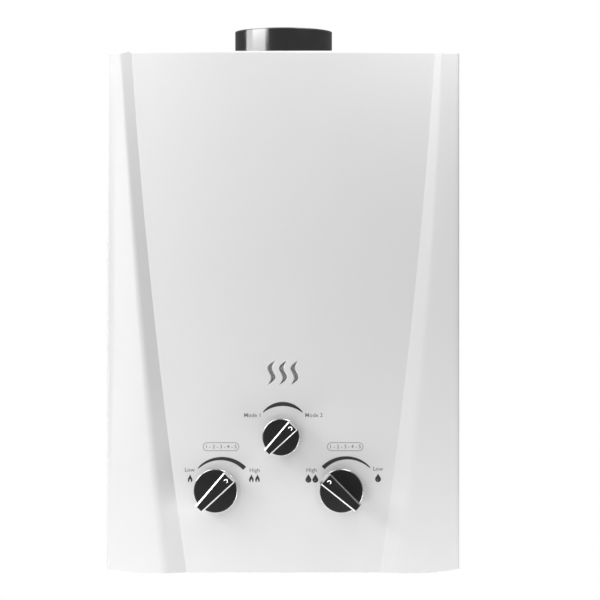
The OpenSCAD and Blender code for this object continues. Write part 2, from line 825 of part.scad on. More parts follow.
module front_cover() {
    color("white") {
        difference() {
            cover_block(0, wall_gap, 0);
            panel_recess();
            difference() {
                cover_block(cover_t, 0, -eps);
                translate([0, cover_t, 0]) panel_recess();
            }
            for (s = [0, 1]) mirror([s, 0, 0])
                rotate([90, 0, 0]) linear_extrude(body_d + eps) foot_corner();
            translate([0, 0, body_h - 2 * cover_t]) linear_extrude(4 * cover_t) {
                translate([0, -flue_d]) circle(notch_r);
                translate([-notch_r, -flue_d]) square([2 * notch_r, flue_d + eps]);
            }
            knob_hole(flame_x, knob_z);
            knob_hole(water_x, knob_z);
            knob_hole(season_x, season_z);
            for (i = [0:slot_count - 1])
                translate([(i - (slot_count - 1) / 2) * slot_pitch, 0, slot_z])
                    rotate([90, 0, 0]) linear_extrude(body_d + eps) slot_shape();
            for (s = [0, 1]) mirror([s, 0, 0]) for (i = [0:vent_count - 1])
                box(half_w - 2 * cover_t, half_w + eps, vent_d - vent_l / 2, vent_d + vent_l / 2,
                    vent_z + i * vent_pitch, vent_z + i * vent_pitch + vent_h);
            at_upper_screws() translate([0, 0, -2 * cover_t])
                cylinder(h = 4 * cover_t, r = screw_r + screw_gap);
        }
        for (s = [0, 1]) mirror([s, 0, 0]) difference() {
            box(half_w - cover_t - tab_w, half_w - cover_t / 2, tab_d - tab_l / 2, tab_d + tab_l / 2,
                tab_z, tab_z + cover_t);
            rod_z(tab_x, tab_d, tab_z - eps, tab_z + cover_t + eps, screw_r + screw_gap);
        }
    }
}

module back_plate() {
    color("gainsboro") difference() {
        union() {
            box(-plate_hw, plate_hw, 0, plate_t, plate_lift, top_z - corner_r);
            box(corner_r - plate_hw, plate_hw - corner_r, 0, plate_t, plate_lift, top_z);
            for (s = [0, 1]) mirror([s, 0, 0])
                box(plate_hw - plate_t, plate_hw, 0, flange_d, plate_lift, top_z - corner_r);
        }
        for (s = [-1, 1]) translate([s * hang_w / 2, 0, body_h / 2]) {
            rod_d(0, -eps, plate_t + eps, -hang_h / 2, hang_r);
            rod_d(0, -eps, plate_t + eps, hang_h / 2, hang_r);
            rod_d(0, -eps, plate_t + eps, hang_h / 2 + hang_slot, hang_slot_r);
            box(-hang_slot_r, hang_slot_r, -eps, plate_t + eps, hang_h / 2, hang_h / 2 + hang_slot);
        }
    }
}

module top_plate() {
    color("gainsboro") difference() {
        union() {
            box(-inner_hw, inner_hw, plate_t, plate_front, top_z - plate_t, top_z);
            box(-inner_hw, inner_hw, plate_t, 2 * plate_t, top_z - plate_t - tab_h, top_z);
        }
        rod_z(0, flue_d, top_z - plate_t - eps, top_z + eps, flue_r + lap_gap);
        at_upper_screws() translate([0, 0, -screw_l]) cylinder(h = screw_l, r = screw_r + screw_gap);
    }
}

module bottom_plate() {
    air_l = 30;
    air_w = 4;
    air_count = 7;
    color("gainsboro") difference() {
        union() {
            box(-inner_hw, inner_hw, plate_t, plate_front, skirt_h, floor_z);
            box(-inner_hw, inner_hw, plate_t, 2 * plate_t, skirt_h, floor_z + tab_h);
        }
        for (x = [flame_x, water_x, -rise_x])
            rod_z(x, valve_d, skirt_h - eps, floor_z + eps, neck_r + lap_gap);
        rod_z(drain_x, valve_d, skirt_h - eps, floor_z + eps, drain_r + lap_gap);
        box(battery_x - battery_hw, battery_x + battery_hw, battery_rear, battery_front,
            skirt_h - eps, floor_z + eps);
        for (i = [0:air_count - 1]) for (d = [valve_d - air_l - 4, valve_d + 16])
            translate([(i - (air_count - 1) / 2) * 2 * air_w, 0, 0])
                box(-air_w / 2, air_w / 2, d, d + air_l, skirt_h - eps, floor_z + eps);
        at_lower_screws() cylinder(h = screw_l, r = screw_r + screw_gap);
    }
}

module cover_screws() {
    color("silver") {
        at_upper_screws() mirror([0, 0, 1]) screw(screw_l);
        at_lower_screws() screw(screw_l);
    }
}

// A perforated plate that lies against the back of the tilted centre panel
module window_mesh() {
    tilt = atan((recess_bottom - recess_top) / body_h);
    hw = (slot_count - 1) / 2 * slot_pitch + slot_lean + slot_w / 2 + mesh_margin;
    hh = slot_h / 2 + mesh_margin;
    nx = floor((hw - mesh_margin / 2) / mesh_pitch);
    nz = floor((hh - mesh_margin / 2) / mesh_pitch);
    color("dimgray") translate([0, -(panel_d(slot_z) - cover_t), slot_z]) rotate([tilt, 0, 0])
        translate([0, 0.05, 0]) rotate([-90, 0, 0]) linear_extrude(mesh_t) difference() {
            translate([-hw, -hh]) square([2 * hw, 2 * hh]);
            for (i = [-nx:nx]) for (j = [-nz:nz])
                if ((i + j) % 2 == 0 || mesh_pitch > 2.5)
                    translate([i * mesh_pitch, j * mesh_pitch]) circle(mesh_hole_r, $fn = 16);
        }
}

// Flue

module flue_collar() {
    color("black") difference() {
        union() {
            rod_z(0, flue_d, collar_z0, collar_z1, flue_r);
            rod_z(0, flue_d, top_z, top_z + bead_h, flue_r + bead_w);
        }
        rod_z(0, flue_d, collar_z0 - eps, collar_z1 + eps, flue_r - flue_t);
    }
}

module hood_outline(inset) {
    w = hood_wide - inset;
    n = hood_narrow - inset;
    z0 = hood_z0 - (inset > 0 ? eps : 0);
    z3 = hood_z3 - inset;
    polygon([
        [-w, z0], [w, z0], [w, hood_z1], [n, hood_z2],
        [n, z3], [-n, z3], [-n, hood_z2], [-w, hood_z1]
    ]);
}

module draft_hood() {
    color("silver") difference() {
        translate([0, -hood_d0, 0]) rotate([90, 0, 0]) linear_extrude(hood_d1 - hood_d0) hood_outline(0);
        translate([0, -hood_d0 - hood_t, 0]) rotate([90, 0, 0])
            linear_extrude(hood_d1 - hood_d0 - 2 * hood_t) hood_outline(hood_t);
        rod_z(0, flue_d, collar_z0, hood_z3 + eps, flue_r + lap_gap);
    }
}

module flue_baffle() {
    d0 = hood_d0 + hood_t;
    d1 = hood_d1 - hood_t;
    hw = baffle_w / 2;
    color("silver") {
        box(-hw, hw, d0, d1, baffle_z, baffle_z + hood_t);
        box(-hw, hw, d0, d0 + hood_t, baffle_z, baffle_z + baffle_flange);
        box(-hw, hw, d1 - hood_t, d1, baffle_z, baffle_z + baffle_flange);
    }
}

// Heat exchanger

// The combustion chamber from above, with round corners
module chamber_plan(inset) {
    hw = chamber_w / 2 - inset;
    d0 = chamber_d0 + inset;
    d1 = chamber_d1 - inset;
    r = chamber_r - inset;
    translate([-hw, -(d1 - r)]) square([2 * hw, d1 - d0 - 2 * r]);
    translate([-(hw - r), -d1]) square([2 * (hw - r), d1 - d0]);
    for (s = [-1, 1]) for (d = [d0 + r, d1 - r]) translate([s * (hw - r), -d]) circle(r);
}

module chamber_shell() {
    hw = chamber_w / 2;
    color("peru") difference() {
        translate([0, 0, chamber_z]) linear_extrude(chamber_h) chamber_plan(0);
        translate([0, 0, chamber_z - eps]) linear_extrude(chamber_h + 2 * eps) chamber_plan(copper_t);
        for (i = [0:2]) rod_x(-hw - eps, hw + eps, tube_d(i), tube_z, tube_r + fit_gap);
    }
}

module exchanger_fins() {
    color("peru") difference() {
        for (i = [0:fin_count - 1]) translate([(i - (fin_count - 1) / 2) * fin_pitch, 0, 0])
            box(-fin_t / 2, fin_t / 2, chamber_d0 + copper_t + fin_gap, chamber_d1 - copper_t - fin_gap,
                fin_z0, fin_z0 + fin_h);
        for (i = [0:2]) rod_x(-chamber_w / 2, chamber_w / 2, tube_d(i), tube_z, tube_r + fit_gap);
    }
}

// Half a turn between two neighbouring tubes, on the side s
module tube_bend(s, i, r) {
    translate([s * tube_end, -(tube_d(i) + tube_d(i + 1)) / 2, tube_z])
        rotate([0, 0, s > 0 ? -90 : 90]) rotate_extrude(angle = 180) translate([tube_pitch / 2, 0]) circle(r);
}

module exchanger_tubes() {
    socket_end = tube_end + socket_l;
    color("peru") difference() {
        union() {
            for (i = [0:2]) rod_x(-tube_end, tube_end, tube_d(i), tube_z, tube_r);
            tube_bend(-1, 0, tube_r);
            tube_bend(1, 1, tube_r);
            rod_x(tube_end, socket_end, tube_d(0), tube_z, tube_r);
            rod_x(-socket_end, -tube_end, tube_d(2), tube_z, tube_r);
        }
        for (i = [0:2]) rod_x(-tube_end, tube_end, tube_d(i), tube_z, tube_r - tube_t);
        tube_bend(-1, 0, tube_r - tube_t);
        tube_bend(1, 1, tube_r - tube_t);
        rod_x(tube_end, socket_end + eps, tube_d(0), tube_z, pipe_r + fit_gap);
        rod_x(-socket_end - eps, -tube_end, tube_d(2), tube_z, pipe_r + fit_gap);
    }
}

// From the water valve up, once round the chamber, and into the rear tube
module cold_pipe() {
    pts = [
        [water_x, -valve_d, valve_top],
        [water_x, -valve_d, pipe_turn_z],
        [coil_x, -valve_d, pipe_turn_z],
        [coil_x, -valve_d, coil_z],
        [coil_x, -coil_d1, coil_z],
        [-coil_x, -coil_d1, coil_z],
        [-coil_x, -coil_d0, coil_z],
        [rise_x, -coil_d0, coil_z],
        [rise_x, -coil_d0, tube_z],
        [rise_x, -tube_d(0), tube_z],
        [tube_end + 1, -tube_d(0), tube_z]
    ];
    color("sandybrown") pipe(pts, pipe_r, pipe_t, pipe_bend);
}

// From the front tube down to the hot outlet
module hot_pipe() {
    pts = [
        [-tube_end - 1, -tube_d(2), tube_z],
        [-rise_x, -tube_d(2), tube_z],
        [-rise_x, -tube_d(2), hot_turn_z],
        [-rise_x, -valve_d, hot_turn_z],
        [-rise_x, -valve_d, floor_z + neck_l + 1]
    ];
    color("sandybrown") pipe(pts, pipe_r, pipe_t, pipe_bend);
}

// A disc thermostat in a clip on the hot pipe
module overheat_switch() {
    clip_r = pipe_r + 3;
    clip_h = 12;
    disc_r = 8;
    disc_l = 9;
    z0 = coil_z - 40;
    d = tube_d(2);
    color("dimgray") difference() {
        union() {
            rod_z(-rise_x, d, z0, z0 + clip_h, clip_r);
            rod_d(-rise_x, d + pipe_r, d + clip_r + disc_l, z0 + clip_h / 2, disc_r);
        }
        rod_z(-rise_x, d, z0 - disc_r, z0 + clip_h + disc_r, pipe_r + fit_gap);
    }
}

// One C-shaped bracket between the back plate and a wall at the depth d
module bracket(x, z, h, d) {
    foot = 12;
    t = 1.5 * frame_t;
    box(x, x + t, plate_t, d, z, z + h);
    box(x, x + foot, plate_t, plate_t + t, z, z + h);
    box(x, x + foot, d - t, d, z, z + h);
}

module mounting_brackets() {
    h = 14;
    at_x = 66;
    color("silver") for (s = [0, 1]) mirror([s, 0, 0]) {
        bracket(at_x, chamber_z + h, h, chamber_d0);
        bracket(at_x, fin_z0 - h, h, chamber_d0);
        bracket(at_x, burner_z + h, h, burner_d0);
    }
}

// Burner

module burner_frame() {
    hw = burner_w / 2;
    color("silver") difference() {
        union() {
            difference() {
                box(-hw, hw, burner_d0, burner_d1, burner_z, burner_top);
                box(-hw + frame_t, hw - frame_t, burner_d0 + frame_t, burner_d1 - frame_t,
                    burner_z - eps, burner_top + eps);
            }
            box(-hw, hw, burner_d0, burner_d0 + ledge_w, burner_z, burner_z + frame_t);
            box(-hw, hw, burner_d1 - ledge_w, burner_d1, burner_z, burner_z + frame_t);
        }
        for (i = [0:bar_count - 1])
            rod_d(bar_x(i), burner_d1 - ledge_w, burner_d1 + eps, jet_z, jet_r + 1);
    }
}

// Front outline of a burner bar: a venturi below, a narrow neck and a wider head
module bar_outline() {
    w = bar_w / 2;
    neck = 0.4 * w;
    body = 0.75 * w;
    polygon([
        [-body, 0], [body, 0], [body, 0.5 * bar_h], [neck, 0.6 * bar_h], [neck, 0.76 * bar_h],
        [w, 0.86 * bar_h], [w, bar_h], [-w, bar_h], [-w, 0.86 * bar_h],
        [-neck, 0.76 * bar_h], [-neck, 0.6 * bar_h], [-body, 0.5 * bar_h]
    ]);
}

module burner_bars() {
    d0 = burner_d0 + frame_t + bar_gap;
    d1 = burner_d1 - frame_t - bar_gap;
    z0 = burner_z + frame_t;
    port_pitch = (d1 - d0) / (port_count + 1);
    mouth_r = jet_r + 0.6;
    color("lightsteelblue") for (i = [0:bar_count - 1]) translate([bar_x(i), 0, 0]) difference() {
        translate([0, -d0, z0]) rotate([90, 0, 0]) linear_extrude(d1 - d0) bar_outline();
        rod_d(0, d0 + 4 * frame_t, d1 + eps, jet_z, mouth_r);
        for (k = [1:port_count])
            box(-bar_w, bar_w, d0 + k * port_pitch - port_w / 2, d0 + k * port_pitch + port_w / 2,
                z0 + 0.9 * bar_h, z0 + bar_h + eps);
    }
}

module gas_manifold() {
    lug = 4;
    z1 = manifold_z0 + manifold_s;
    color("lightgray") difference() {
        union() {
            box(-manifold_hw, manifold_hw, manifold_d0, manifold_d1, manifold_z0, z1);
            for (s = [0, 1]) mirror([s, 0, 0])
                box(manifold_hw - lug, manifold_hw, burner_d1, manifold_d0, manifold_z0, z1);
        }
        rod_x(-manifold_hw + 4, manifold_hw - 4, manifold_mid, jet_z, gallery_r);
        for (i = [0:bar_count - 1])
            rod_d(bar_x(i), burner_d1 - eps, manifold_mid, jet_z, jet_r + fit_gap);
        rod_z(flame_x, manifold_mid, manifold_z0 - eps, jet_z, pipe_r - pipe_t);
        rod_z(season_x, manifold_d0 + 4, manifold_z0 - eps, jet_z, gallery_r / 2);
    }
}

module gas_jets() {
    color("gold") for (i = [0:bar_count - 1]) difference() {
        union() {
            rod_d(bar_x(i), burner_d1 - 4, manifold_d0 + 3, jet_z, jet_r);
            translate([bar_x(i), -manifold_d0 + 2, jet_z]) rotate([90, 0, 0])
                cylinder(h = 2, r = jet_r + 1.6, $fn = 6);
        }
        rod_d(bar_x(i), burner_d1 - 4 - eps, manifold_d0 + 3 + eps, jet_z, orifice_r);
    }
}

module gas_riser() {
    pts = [
        [flame_x, -valve_d, valve_top],
        [flame_x, -valve_d, pipe_turn_z],
        [flame_x, -manifold_mid, pipe_turn_z],
        [flame_x, -manifold_mid, manifold_z0]
    ];
    color("silver") pipe(pts, pipe_r, pipe_t, pipe_bend);
}

// Valves

// A spindle with its plug, from the plug's rear to the tip in the knob
module spindle(x, z, front) {
    tip = spindle_tip(z);
    color("gold") difference() {
        union() {
            rod_d(x, front - plug_l, front - run_gap, z, plug_r);
            rod_d(x, front - plug_l, tip, z, shaft_r);
        }
        rod_z(x, front - plug_l / 2, z - plug_r - eps, z + plug_r + eps, 0.45 * plug_r);
    }
}

module plug_bore(x, z, front) {
    rod_d(x, front - plug_l - lap_gap, front + eps, z, plug_r + run_gap);
}

module flame_spindle() spindle(flame_x, knob_z, gas_front);

module water_spindle() spindle(water_x, knob_z, drum_front);

module season_spindle() spindle(season_x, season_z, season_front);

module spindle_gland(x, z, front) {
    difference() {
        rod_d(x, front, front + gland_t, z, gland_r);
        rod_d(x, front - eps, front + gland_t + eps, z, shaft_r + run_gap);
    }
}

module spindle_glands() {
    color("silver") {
        spindle_gland(flame_x, knob_z, gas_front);
        spindle_gland(water_x, knob_z, drum_front);
        spindle_gland(season_x, season_z, season_front);
    }
}

// The lower boss of a valve body, which stands on the bottom plate, and its socket
module foot_boss(x) {
    rod_z(x, valve_d, floor_z, knob_z, pipe_boss_r);
}

module foot_socket(x) {
    rod_z(x, valve_d, floor_z - eps, floor_z + neck_l + lap_gap, neck_r + fit_gap);
    rod_z(x, valve_d, floor_z, valve_top + eps, way_r);
}

module gas_valve_body() {
    color("lightgray") difference() {
        union() {
            box(gas_x0, gas_x1, valve_d - gas_half_d, valve_d + gas_half_d,
                knob_z - gas_half_h, knob_z + gas_half_h);
            rod_d(flame_x, valve_d, gas_front, knob_z, gland_r);
            foot_boss(flame_x);
            rod_z(flame_x, valve_d, knob_z, valve_top, nut_r);
        }
        foot_socket(flame_x);
        plug_bore(flame_x, knob_z, gas_front);
        rod_x(gas_x1 - poppet_dp, gas_x1 + eps, valve_d, knob_z, poppet_r + poppet_gap);
        rod_x(flame_x, gas_x1 - poppet_dp + eps, valve_d, knob_z, way_r / 2);
        rod_x(gas_x0 - eps, gas_x0 + plunger_travel + 6, valve_d, knob_z, plunger_r + 3.5);
    }
}

module poppet_gland() {
    side = poppet_r + poppet_gap + 6;
    color("silver") difference() {
        box(gas_x1, link_x0, valve_d - side, valve_d + side, knob_z - side, knob_z + side);
        rod_x(gas_x1 - eps, link_x0 + eps, valve_d, knob_z, stem_r + run_gap);
    }
}

module gas_poppet() {
    x1 = gas_x1 - lap_gap;
    color("gold") {
        rod_x(x1 - poppet_t, x1, valve_d, knob_z, poppet_r);
        rod_x(x1 - poppet_t, stem_end, valve_d, knob_z, stem_r);
        rod_x(x1 - poppet_t - 4, x1, valve_d, knob_z, spring_r - wire_r - 0.5);
    }
}

// A wire wound along X, that sits on the poppet and rides with it
module poppet_spring() {
    sides = 6;
    rings = 10 * spring_turns;
    x1 = gas_x1 - lap_gap - poppet_t - wire_r - 0.1;
    pitch = (spring_l - 2 * wire_r) / spring_turns;
    slope = atan(pitch / (2 * PI * spring_r));
    pts = [for (i = [0:rings]) let (a = 360 * spring_turns * i / rings)
        for (k = [0:sides - 1]) let (b = 360 * k / sides, u = wire_r * cos(b), v = wire_r * sin(b))
        [
            x1 - pitch * a / 360 - v * cos(slope),
            -valve_d + (spring_r + u) * cos(a) - v * sin(slope) * sin(a),
            knob_z + (spring_r + u) * sin(a) + v * sin(slope) * cos(a)
        ]];
    walls = [for (i = [0:rings - 1]) for (k = [0:sides - 1])
        let (p = sides * i + k, q = sides * i + (k + 1) % sides)
        for (f = [[p, p + sides, q + sides], [p, q + sides, q]]) f];
    first = [for (k = [1:sides - 2]) [0, k, k + 1]];
    last = [for (k = [1:sides - 2]) [sides * rings, sides * rings + k + 1, sides * rings + k]];
    color("silver") polyhedron(pts, concat(walls, first, last));
}

module solenoid_coil() {
    wall = 3;
    x0 = gas_x0 - coil_l;
    color("darkslategray") difference() {
        union() {
            rod_x(x0, gas_x0, valve_d, knob_z, coil_r - 1.5);
            rod_x(x0, x0 + wall, valve_d, knob_z, coil_r);
            rod_x(gas_x0 - wall, gas_x0, valve_d, knob_z, coil_r);
        }
        rod_x(x0 + wall, gas_x0 + eps, valve_d, knob_z, plunger_r + run_gap);
    }
}

module solenoid_plunger() {
    seat = gas_x0 + plunger_travel + 6 - lap_gap;
    color("silver") {
        rod_x(seat - 2, seat, valve_d, knob_z, plunger_r + 2.5);
        rod_x(gas_x0 - coil_l + plunger_travel + 4, seat, valve_d, knob_z, plunger_r);
    }
}

module season_valve_body() {
    color("lightgray") difference() {
        union() {
            box(season_x - season_half, season_x + season_half, season_front - season_dp, season_front,
                season_z - season_half, burner_z - 1.5);
            box(season_x - season_half, season_x + season_half, manifold_d0, season_front,
                season_z, manifold_z0);
        }
        plug_bore(season_x, season_z, season_front);
        rod_z(season_x, manifold_d0 + 4, season_z, manifold_z0 + eps, gallery_r / 2);
    }
}

// Screw places around the diaphragm's rim
module at_rim() {
    for (a = [45:90:315])
        translate([0, -valve_d, knob_z]) rotate([a, 0, 0]) translate([0, (rim_r + drum_r) / 2, 0]) children();
}

module rim_holes(x0, x1) {
    at_rim() translate([x0 - eps, 0, 0]) rotate([0, 90, 0])
        cylinder(h = x1 - x0 + 2 * eps, r = screw_r - 0.4 + screw_gap);
}

module water_valve_body() {
    color("goldenrod") difference() {
        union() {
            rod_x(drum_x0, drum_x1, valve_d, knob_z, drum_r);
            rod_x(drum_x0, drum_x0 + rim_t, valve_d, knob_z, rim_r);
            rod_d(water_x, valve_d, drum_front, knob_z, gland_r);
            foot_boss(water_x);
            rod_z(water_x, valve_d, knob_z, valve_top, nut_r);
            rod_x(drum_x1 - eps, drain_x, valve_d, knob_z, drain_boss_r);
            rod_z(drain_x, valve_d, floor_z, knob_z, drain_boss_r);
            translate([drain_x, -valve_d, knob_z]) sphere(drain_boss_r);
        }
        foot_socket(water_x);
        plug_bore(water_x, knob_z, drum_front);
        rod_x(drum_x0 - eps, drum_x0 + rim_t + 2, valve_d, knob_z, pressure_r);
        rod_x(drum_x0, drain_x, valve_d, knob_z, 0.6 * way_r);
        rod_z(drain_x, valve_d, floor_z - eps, floor_z + drain_in + lap_gap, drain_r + run_gap);
        rod_z(drain_x, valve_d, floor_z, knob_z, 0.6 * way_r);
        rim_holes(drum_x0, drum_x0 + rim_t);
    }
}

module diaphragm_cover() {
    color("goldenrod") difference() {
        union() {
            rod_x(cap_x0, cap_x1, valve_d, knob_z, pressure_r + 4);
            rod_x(cap_x1 - rim_t, cap_x1, valve_d, knob_z, rim_r);
        }
        rod_x(cap_x0 + cap_wall, cap_x1 + eps, valve_d, knob_z, pressure_r);
        rod_x(cap_x0 - eps, cap_x1, valve_d, knob_z, rod_r + run_gap);
        rim_holes(cap_x1 - rim_t, cap_x1);
    }
}

module diaphragm() {
    color("black") difference() {
        rod_x(cap_x1, drum_x0, valve_d, knob_z, rim_r);
        rim_holes(cap_x1, drum_x0);
    }
}

module push_rod() {
    trip_x = lever_x + lever_t / 2 + lap_gap;
    color("silver") {
        rod_x(cap_x1 - 2 * run_gap - push_plate_t, cap_x1 - 2 * run_gap, valve_d, knob_z, push_plate_r);
        rod_x(stem_end + lap_gap, cap_x1 - 2 * run_gap, valve_d, knob_z, rod_r);
        rod_x(trip_x, trip_x + trip_w, valve_d, knob_z, trip_r);
    }
}

module valve_screws() {
    x0 = cap_x1 - rim_t;
    color("silver") at_rim() translate([x0, 0, 0]) rotate([0, 90, 0]) {
        cylinder(h = drum_x0 + rim_t - x0, r = screw_r - 0.4);
        translate([0, 0, -head_h]) cylinder(h = head_h, r = head_r - 0.8, $fn = 6);
    }
}

module linkage_bracket() {
    d1 = link_d;
    d0 = link_d - link_t;
    mid_x = switch_x1 - switch_l / 2;
    color("silver") difference() {
        union() {
            box(link_x0, cap_x0, d0, d1, knob_z - 12, switch_z + switch_h + 4);
            box(link_x0, link_x0 + link_t, d0 - link_foot, d1, knob_z - 10, knob_z + 10);
            box(cap_x0 - link_t, cap_x0, d0 - link_foot, d1, knob_z - 10, knob_z + 10);
        }
        rod_d(mid_x, d0 - eps, d1 + eps, switch_z + switch_h / 2, lead_r + lap_gap);
    }
}

module microswitch() {
    d1 = valve_d + 2;
    ear = 3;
    color("black") {
        box(switch_x1 - switch_l, switch_x1, link_d, d1, switch_z, switch_z + switch_h);
        box(switch_x1 - ear, lever_x + 2, link_d, link_d + ear, lever_z - 2.5, lever_z + 2.5);
        box(switch_x1 - ear, switch_x1, link_d, link_d + ear, switch_z + switch_h - eps, lever_z + 2.5);
        rod_d(lever_x, link_d, valve_d + 5, lever_z, pin_r);
        rod_x(switch_x1 - eps, switch_x1 + 1.2, valve_d, switch_z + 3, 1);
    }
}

module switch_lever() {
    d0 = link_d + 3 + lap_gap;
    d1 = valve_d + 4;
    color("silver") difference() {
        union() {
            rod_d(lever_x, d0, d1, lever_z, 2.2);
            box(lever_x - lever_t / 2, lever_x + lever_t / 2, d0, d1, knob_z + rod_r + 0.5, lever_z);
        }
        rod_d(lever_x, d0 - eps, d1 + eps, lever_z, pin_r + run_gap);
    }
}

// Connections

// A male connector below the bottom plate, with a neck of length l above it
module connector(x, l) {
    rod_z(x, valve_d, thread_z, skirt_h - hex_h + eps, thread_r);
    hex_z(x, valve_d, skirt_h - hex_h, skirt_h, hex_r);
    rod_z(x, valve_d, skirt_h - eps, floor_z + l, neck_r);
}

module inlet(x) {
    difference() {
        connector(x, neck_l);
        rod_z(x, valve_d, thread_z - eps, floor_z + neck_l + eps, bore_r);
    }
}

module gas_inlet() color("gold") inlet(flame_x);

module water_inlet() color("gold") inlet(water_x);

// The hot pipe stands on a seat inside the outlet's long neck
module hot_outlet() {
    top = floor_z + 2.5 * neck_l;
    color("gold") difference() {
        connector(-rise_x, 2.5 * neck_l);
        rod_z(-rise_x, valve_d, thread_z - eps, skirt_h, bore_r);
        rod_z(-rise_x, valve_d, skirt_h - eps, top, way_r);
        rod_z(-rise_x, valve_d, floor_z + neck_l + 1, top + eps, pipe_r + fit_gap);
    }
}

// A small strainer cup in the mouth of the water inlet
module inlet_filter() {
    rim_l = 1.5;
    cup_l = 14;
    r = bore_r - fit_gap;
    color("seagreen") difference() {
        union() {
            rod_z(water_x, valve_d, thread_z - rim_l, thread_z + cup_l, r);
            rod_z(water_x, valve_d, thread_z - rim_l, thread_z, bore_r + 2);
        }
        rod_z(water_x, valve_d, thread_z - rim_l - eps, thread_z + cup_l - 1, r - 1);
    }
}

module pipe_nuts() {
    color("gold") {
        for (x = [flame_x, water_x]) difference() {
            hex_z(x, valve_d, valve_top, valve_top + nut_h, nut_r);
            rod_z(x, valve_d, valve_top - eps, valve_top + nut_h + eps, pipe_r + fit_gap);
        }
        difference() {
            hex_z(-rise_x, valve_d, floor_z, floor_z + nut_h, hex_r);
            rod_z(-rise_x, valve_d, floor_z - eps, floor_z + nut_h + eps, neck_r + fit_gap);
        }
    }
}

module drain_plug() {
    head = drain_r + 4;
    z1 = skirt_h - lap_gap;
    ribs = 8;
    color("dimgray") {
        rod_z(drain_x, valve_d, z1 - drain_l, floor_z + drain_in, drain_r);
        difference() {
            rod_z(drain_x, valve_d, z1 - drain_l, z1, head);
            for (k = [0:ribs - 1]) translate([drain_x, -valve_d, 0]) rotate([0, 0, 360 * k / ribs])
                rod_z(head + 1, 0, z1 - drain_l - eps, z1 - 3, 2);
        }
    }
}

// Ignition

module igniter_box() {
    color("black") difference() {
        box(igniter_x0, igniter_x1, plate_t, igniter_front, igniter_z0, igniter_z1);
        box(igniter_x0 + box_t, igniter_x1 - box_t, plate_t - eps, igniter_front - box_t,
            igniter_z0 + box_t, igniter_z1 - box_t);
    }
}

// A shelf behind the burner frame that holds the electrodes
module electrode_bracket() {
    x0 = igniter_x + spark_left - shelf_margin;
    x1 = igniter_x + sensor_at + shelf_margin;
    t = 1.2 * frame_t;
    color("silver") difference() {
        union() {
            box(x0, x1, burner_d0 - t, burner_d0, shelf_z - 8, shelf_z + 10);
            box(x0, x1, electrode_d - 6, burner_d0, shelf_z, shelf_z + t);
        }
        for (x = electrode_at)
            rod_z(igniter_x + x, electrode_d, shelf_z - eps, shelf_z + t + eps, ceramic_r + fit_gap);
    }
}

module electrode_insulators() {
    z = shelf_z + 1.2 * frame_t;
    color("white") for (x = electrode_at) difference() {
        union() {
            rod_z(igniter_x + x, electrode_d, ceramic_z0, ceramic_z0 + ceramic_l, ceramic_r);
            rod_z(igniter_x + x, electrode_d, z, z + 3, ceramic_r + 1.5);
        }
        rod_z(igniter_x + x, electrode_d, ceramic_z0 - eps, ceramic_z0 + ceramic_l + eps, pin_r + fit_gap);
    }
}

// Each pin rises out of its insulator and bends forward over the burner
module electrode_pins() {
    color("silver") for (x = electrode_at) route([
        [igniter_x + x, -electrode_d, ceramic_z0 - 2],
        [igniter_x + x, -electrode_d, pin_z],
        [igniter_x + x, -burner_d0 - pin_reach, pin_z]
    ], pin_r, 3);
}

// Electrode, battery, switch and solenoid leads, each held between two housings
module leads() {
    mid_x = switch_x1 - switch_l / 2;
    coil_mid = gas_x0 - coil_l / 2;
    solenoid_lead_d = plate_t + igniter_dp / 2;
    color("firebrick") {
        for (x = electrode_at) rod_z(igniter_x + x, electrode_d, igniter_z1, ceramic_z0 - 2, lead_r);
        for (z = [lead_z, lead_z + 4 * lead_r])
            rod_x(igniter_x1, battery_x - battery_hw - box_t, lead_d, z, lead_r);
        rod_d(mid_x, igniter_front, link_d, switch_z + switch_h / 2, lead_r);
        route([
            [igniter_x0, -solenoid_lead_d, knob_z],
            [coil_mid, -solenoid_lead_d, knob_z],
            [coil_mid, -valve_d + coil_r - 1.5, knob_z]
        ], lead_r, 6);
    }
}

// Battery

module battery_box() {
    z1 = cell_z + cell_l + box_t;
    color("dimgray") difference() {
        box(battery_x - battery_hw - box_t, battery_x + battery_hw + box_t,
            battery_rear - box_t, battery_front + box_t, floor_z, z1);
        box(battery_x - battery_hw, battery_x + battery_hw, battery_rear, battery_front,
            floor_z - eps, z1 - box_t);
    }
}

module battery_cells() {
    tip_r = 4;
    tip_l = 1.5;
    color("steelblue") for (d = [battery_d - cell_r - cell_gap / 2, battery_d + cell_r + cell_gap / 2]) {
        rod_z(battery_x, d, cell_z, cell_z + cell_l - tip_l, cell_r);
        rod_z(battery_x, d, cell_z, cell_z + cell_l, tip_r);
    }
}

// A frame under the bottom plate, with the two lugs of the lid's hinge
module battery_frame() {
    w = battery_frame_w;
    lug_x = lid_hw + lid_gap;
    color("dimgray") difference() {
        union() {
            box(battery_x - lid_hw, battery_x + lid_hw, battery_rear - w, battery_front + w,
                skirt_h - battery_frame_t, skirt_h);
            for (s = [0, 1]) translate([battery_x, 0, 0]) mirror([s, 0, 0]) {
                box(lug_x, lug_x + lug_t, hinge_d - knuckle_r, battery_rear, hinge_z, skirt_h);
                rod_x(lug_x, lug_x + lug_t, hinge_d, hinge_z, knuckle_r);
                box(battery_hw, lug_x + lug_t, battery_rear - w, battery_rear,
                    skirt_h - battery_frame_t, skirt_h);
            }
        }
        box(battery_x - battery_hw, battery_x + battery_hw, battery_rear, battery_front,
            skirt_h - battery_frame_t - eps, skirt_h + eps);
        rod_x(battery_x - lug_x - lug_t - eps, battery_x + lug_x + lug_t + eps, hinge_d, hinge_z,
            hinge_r + run_gap);
    }
}

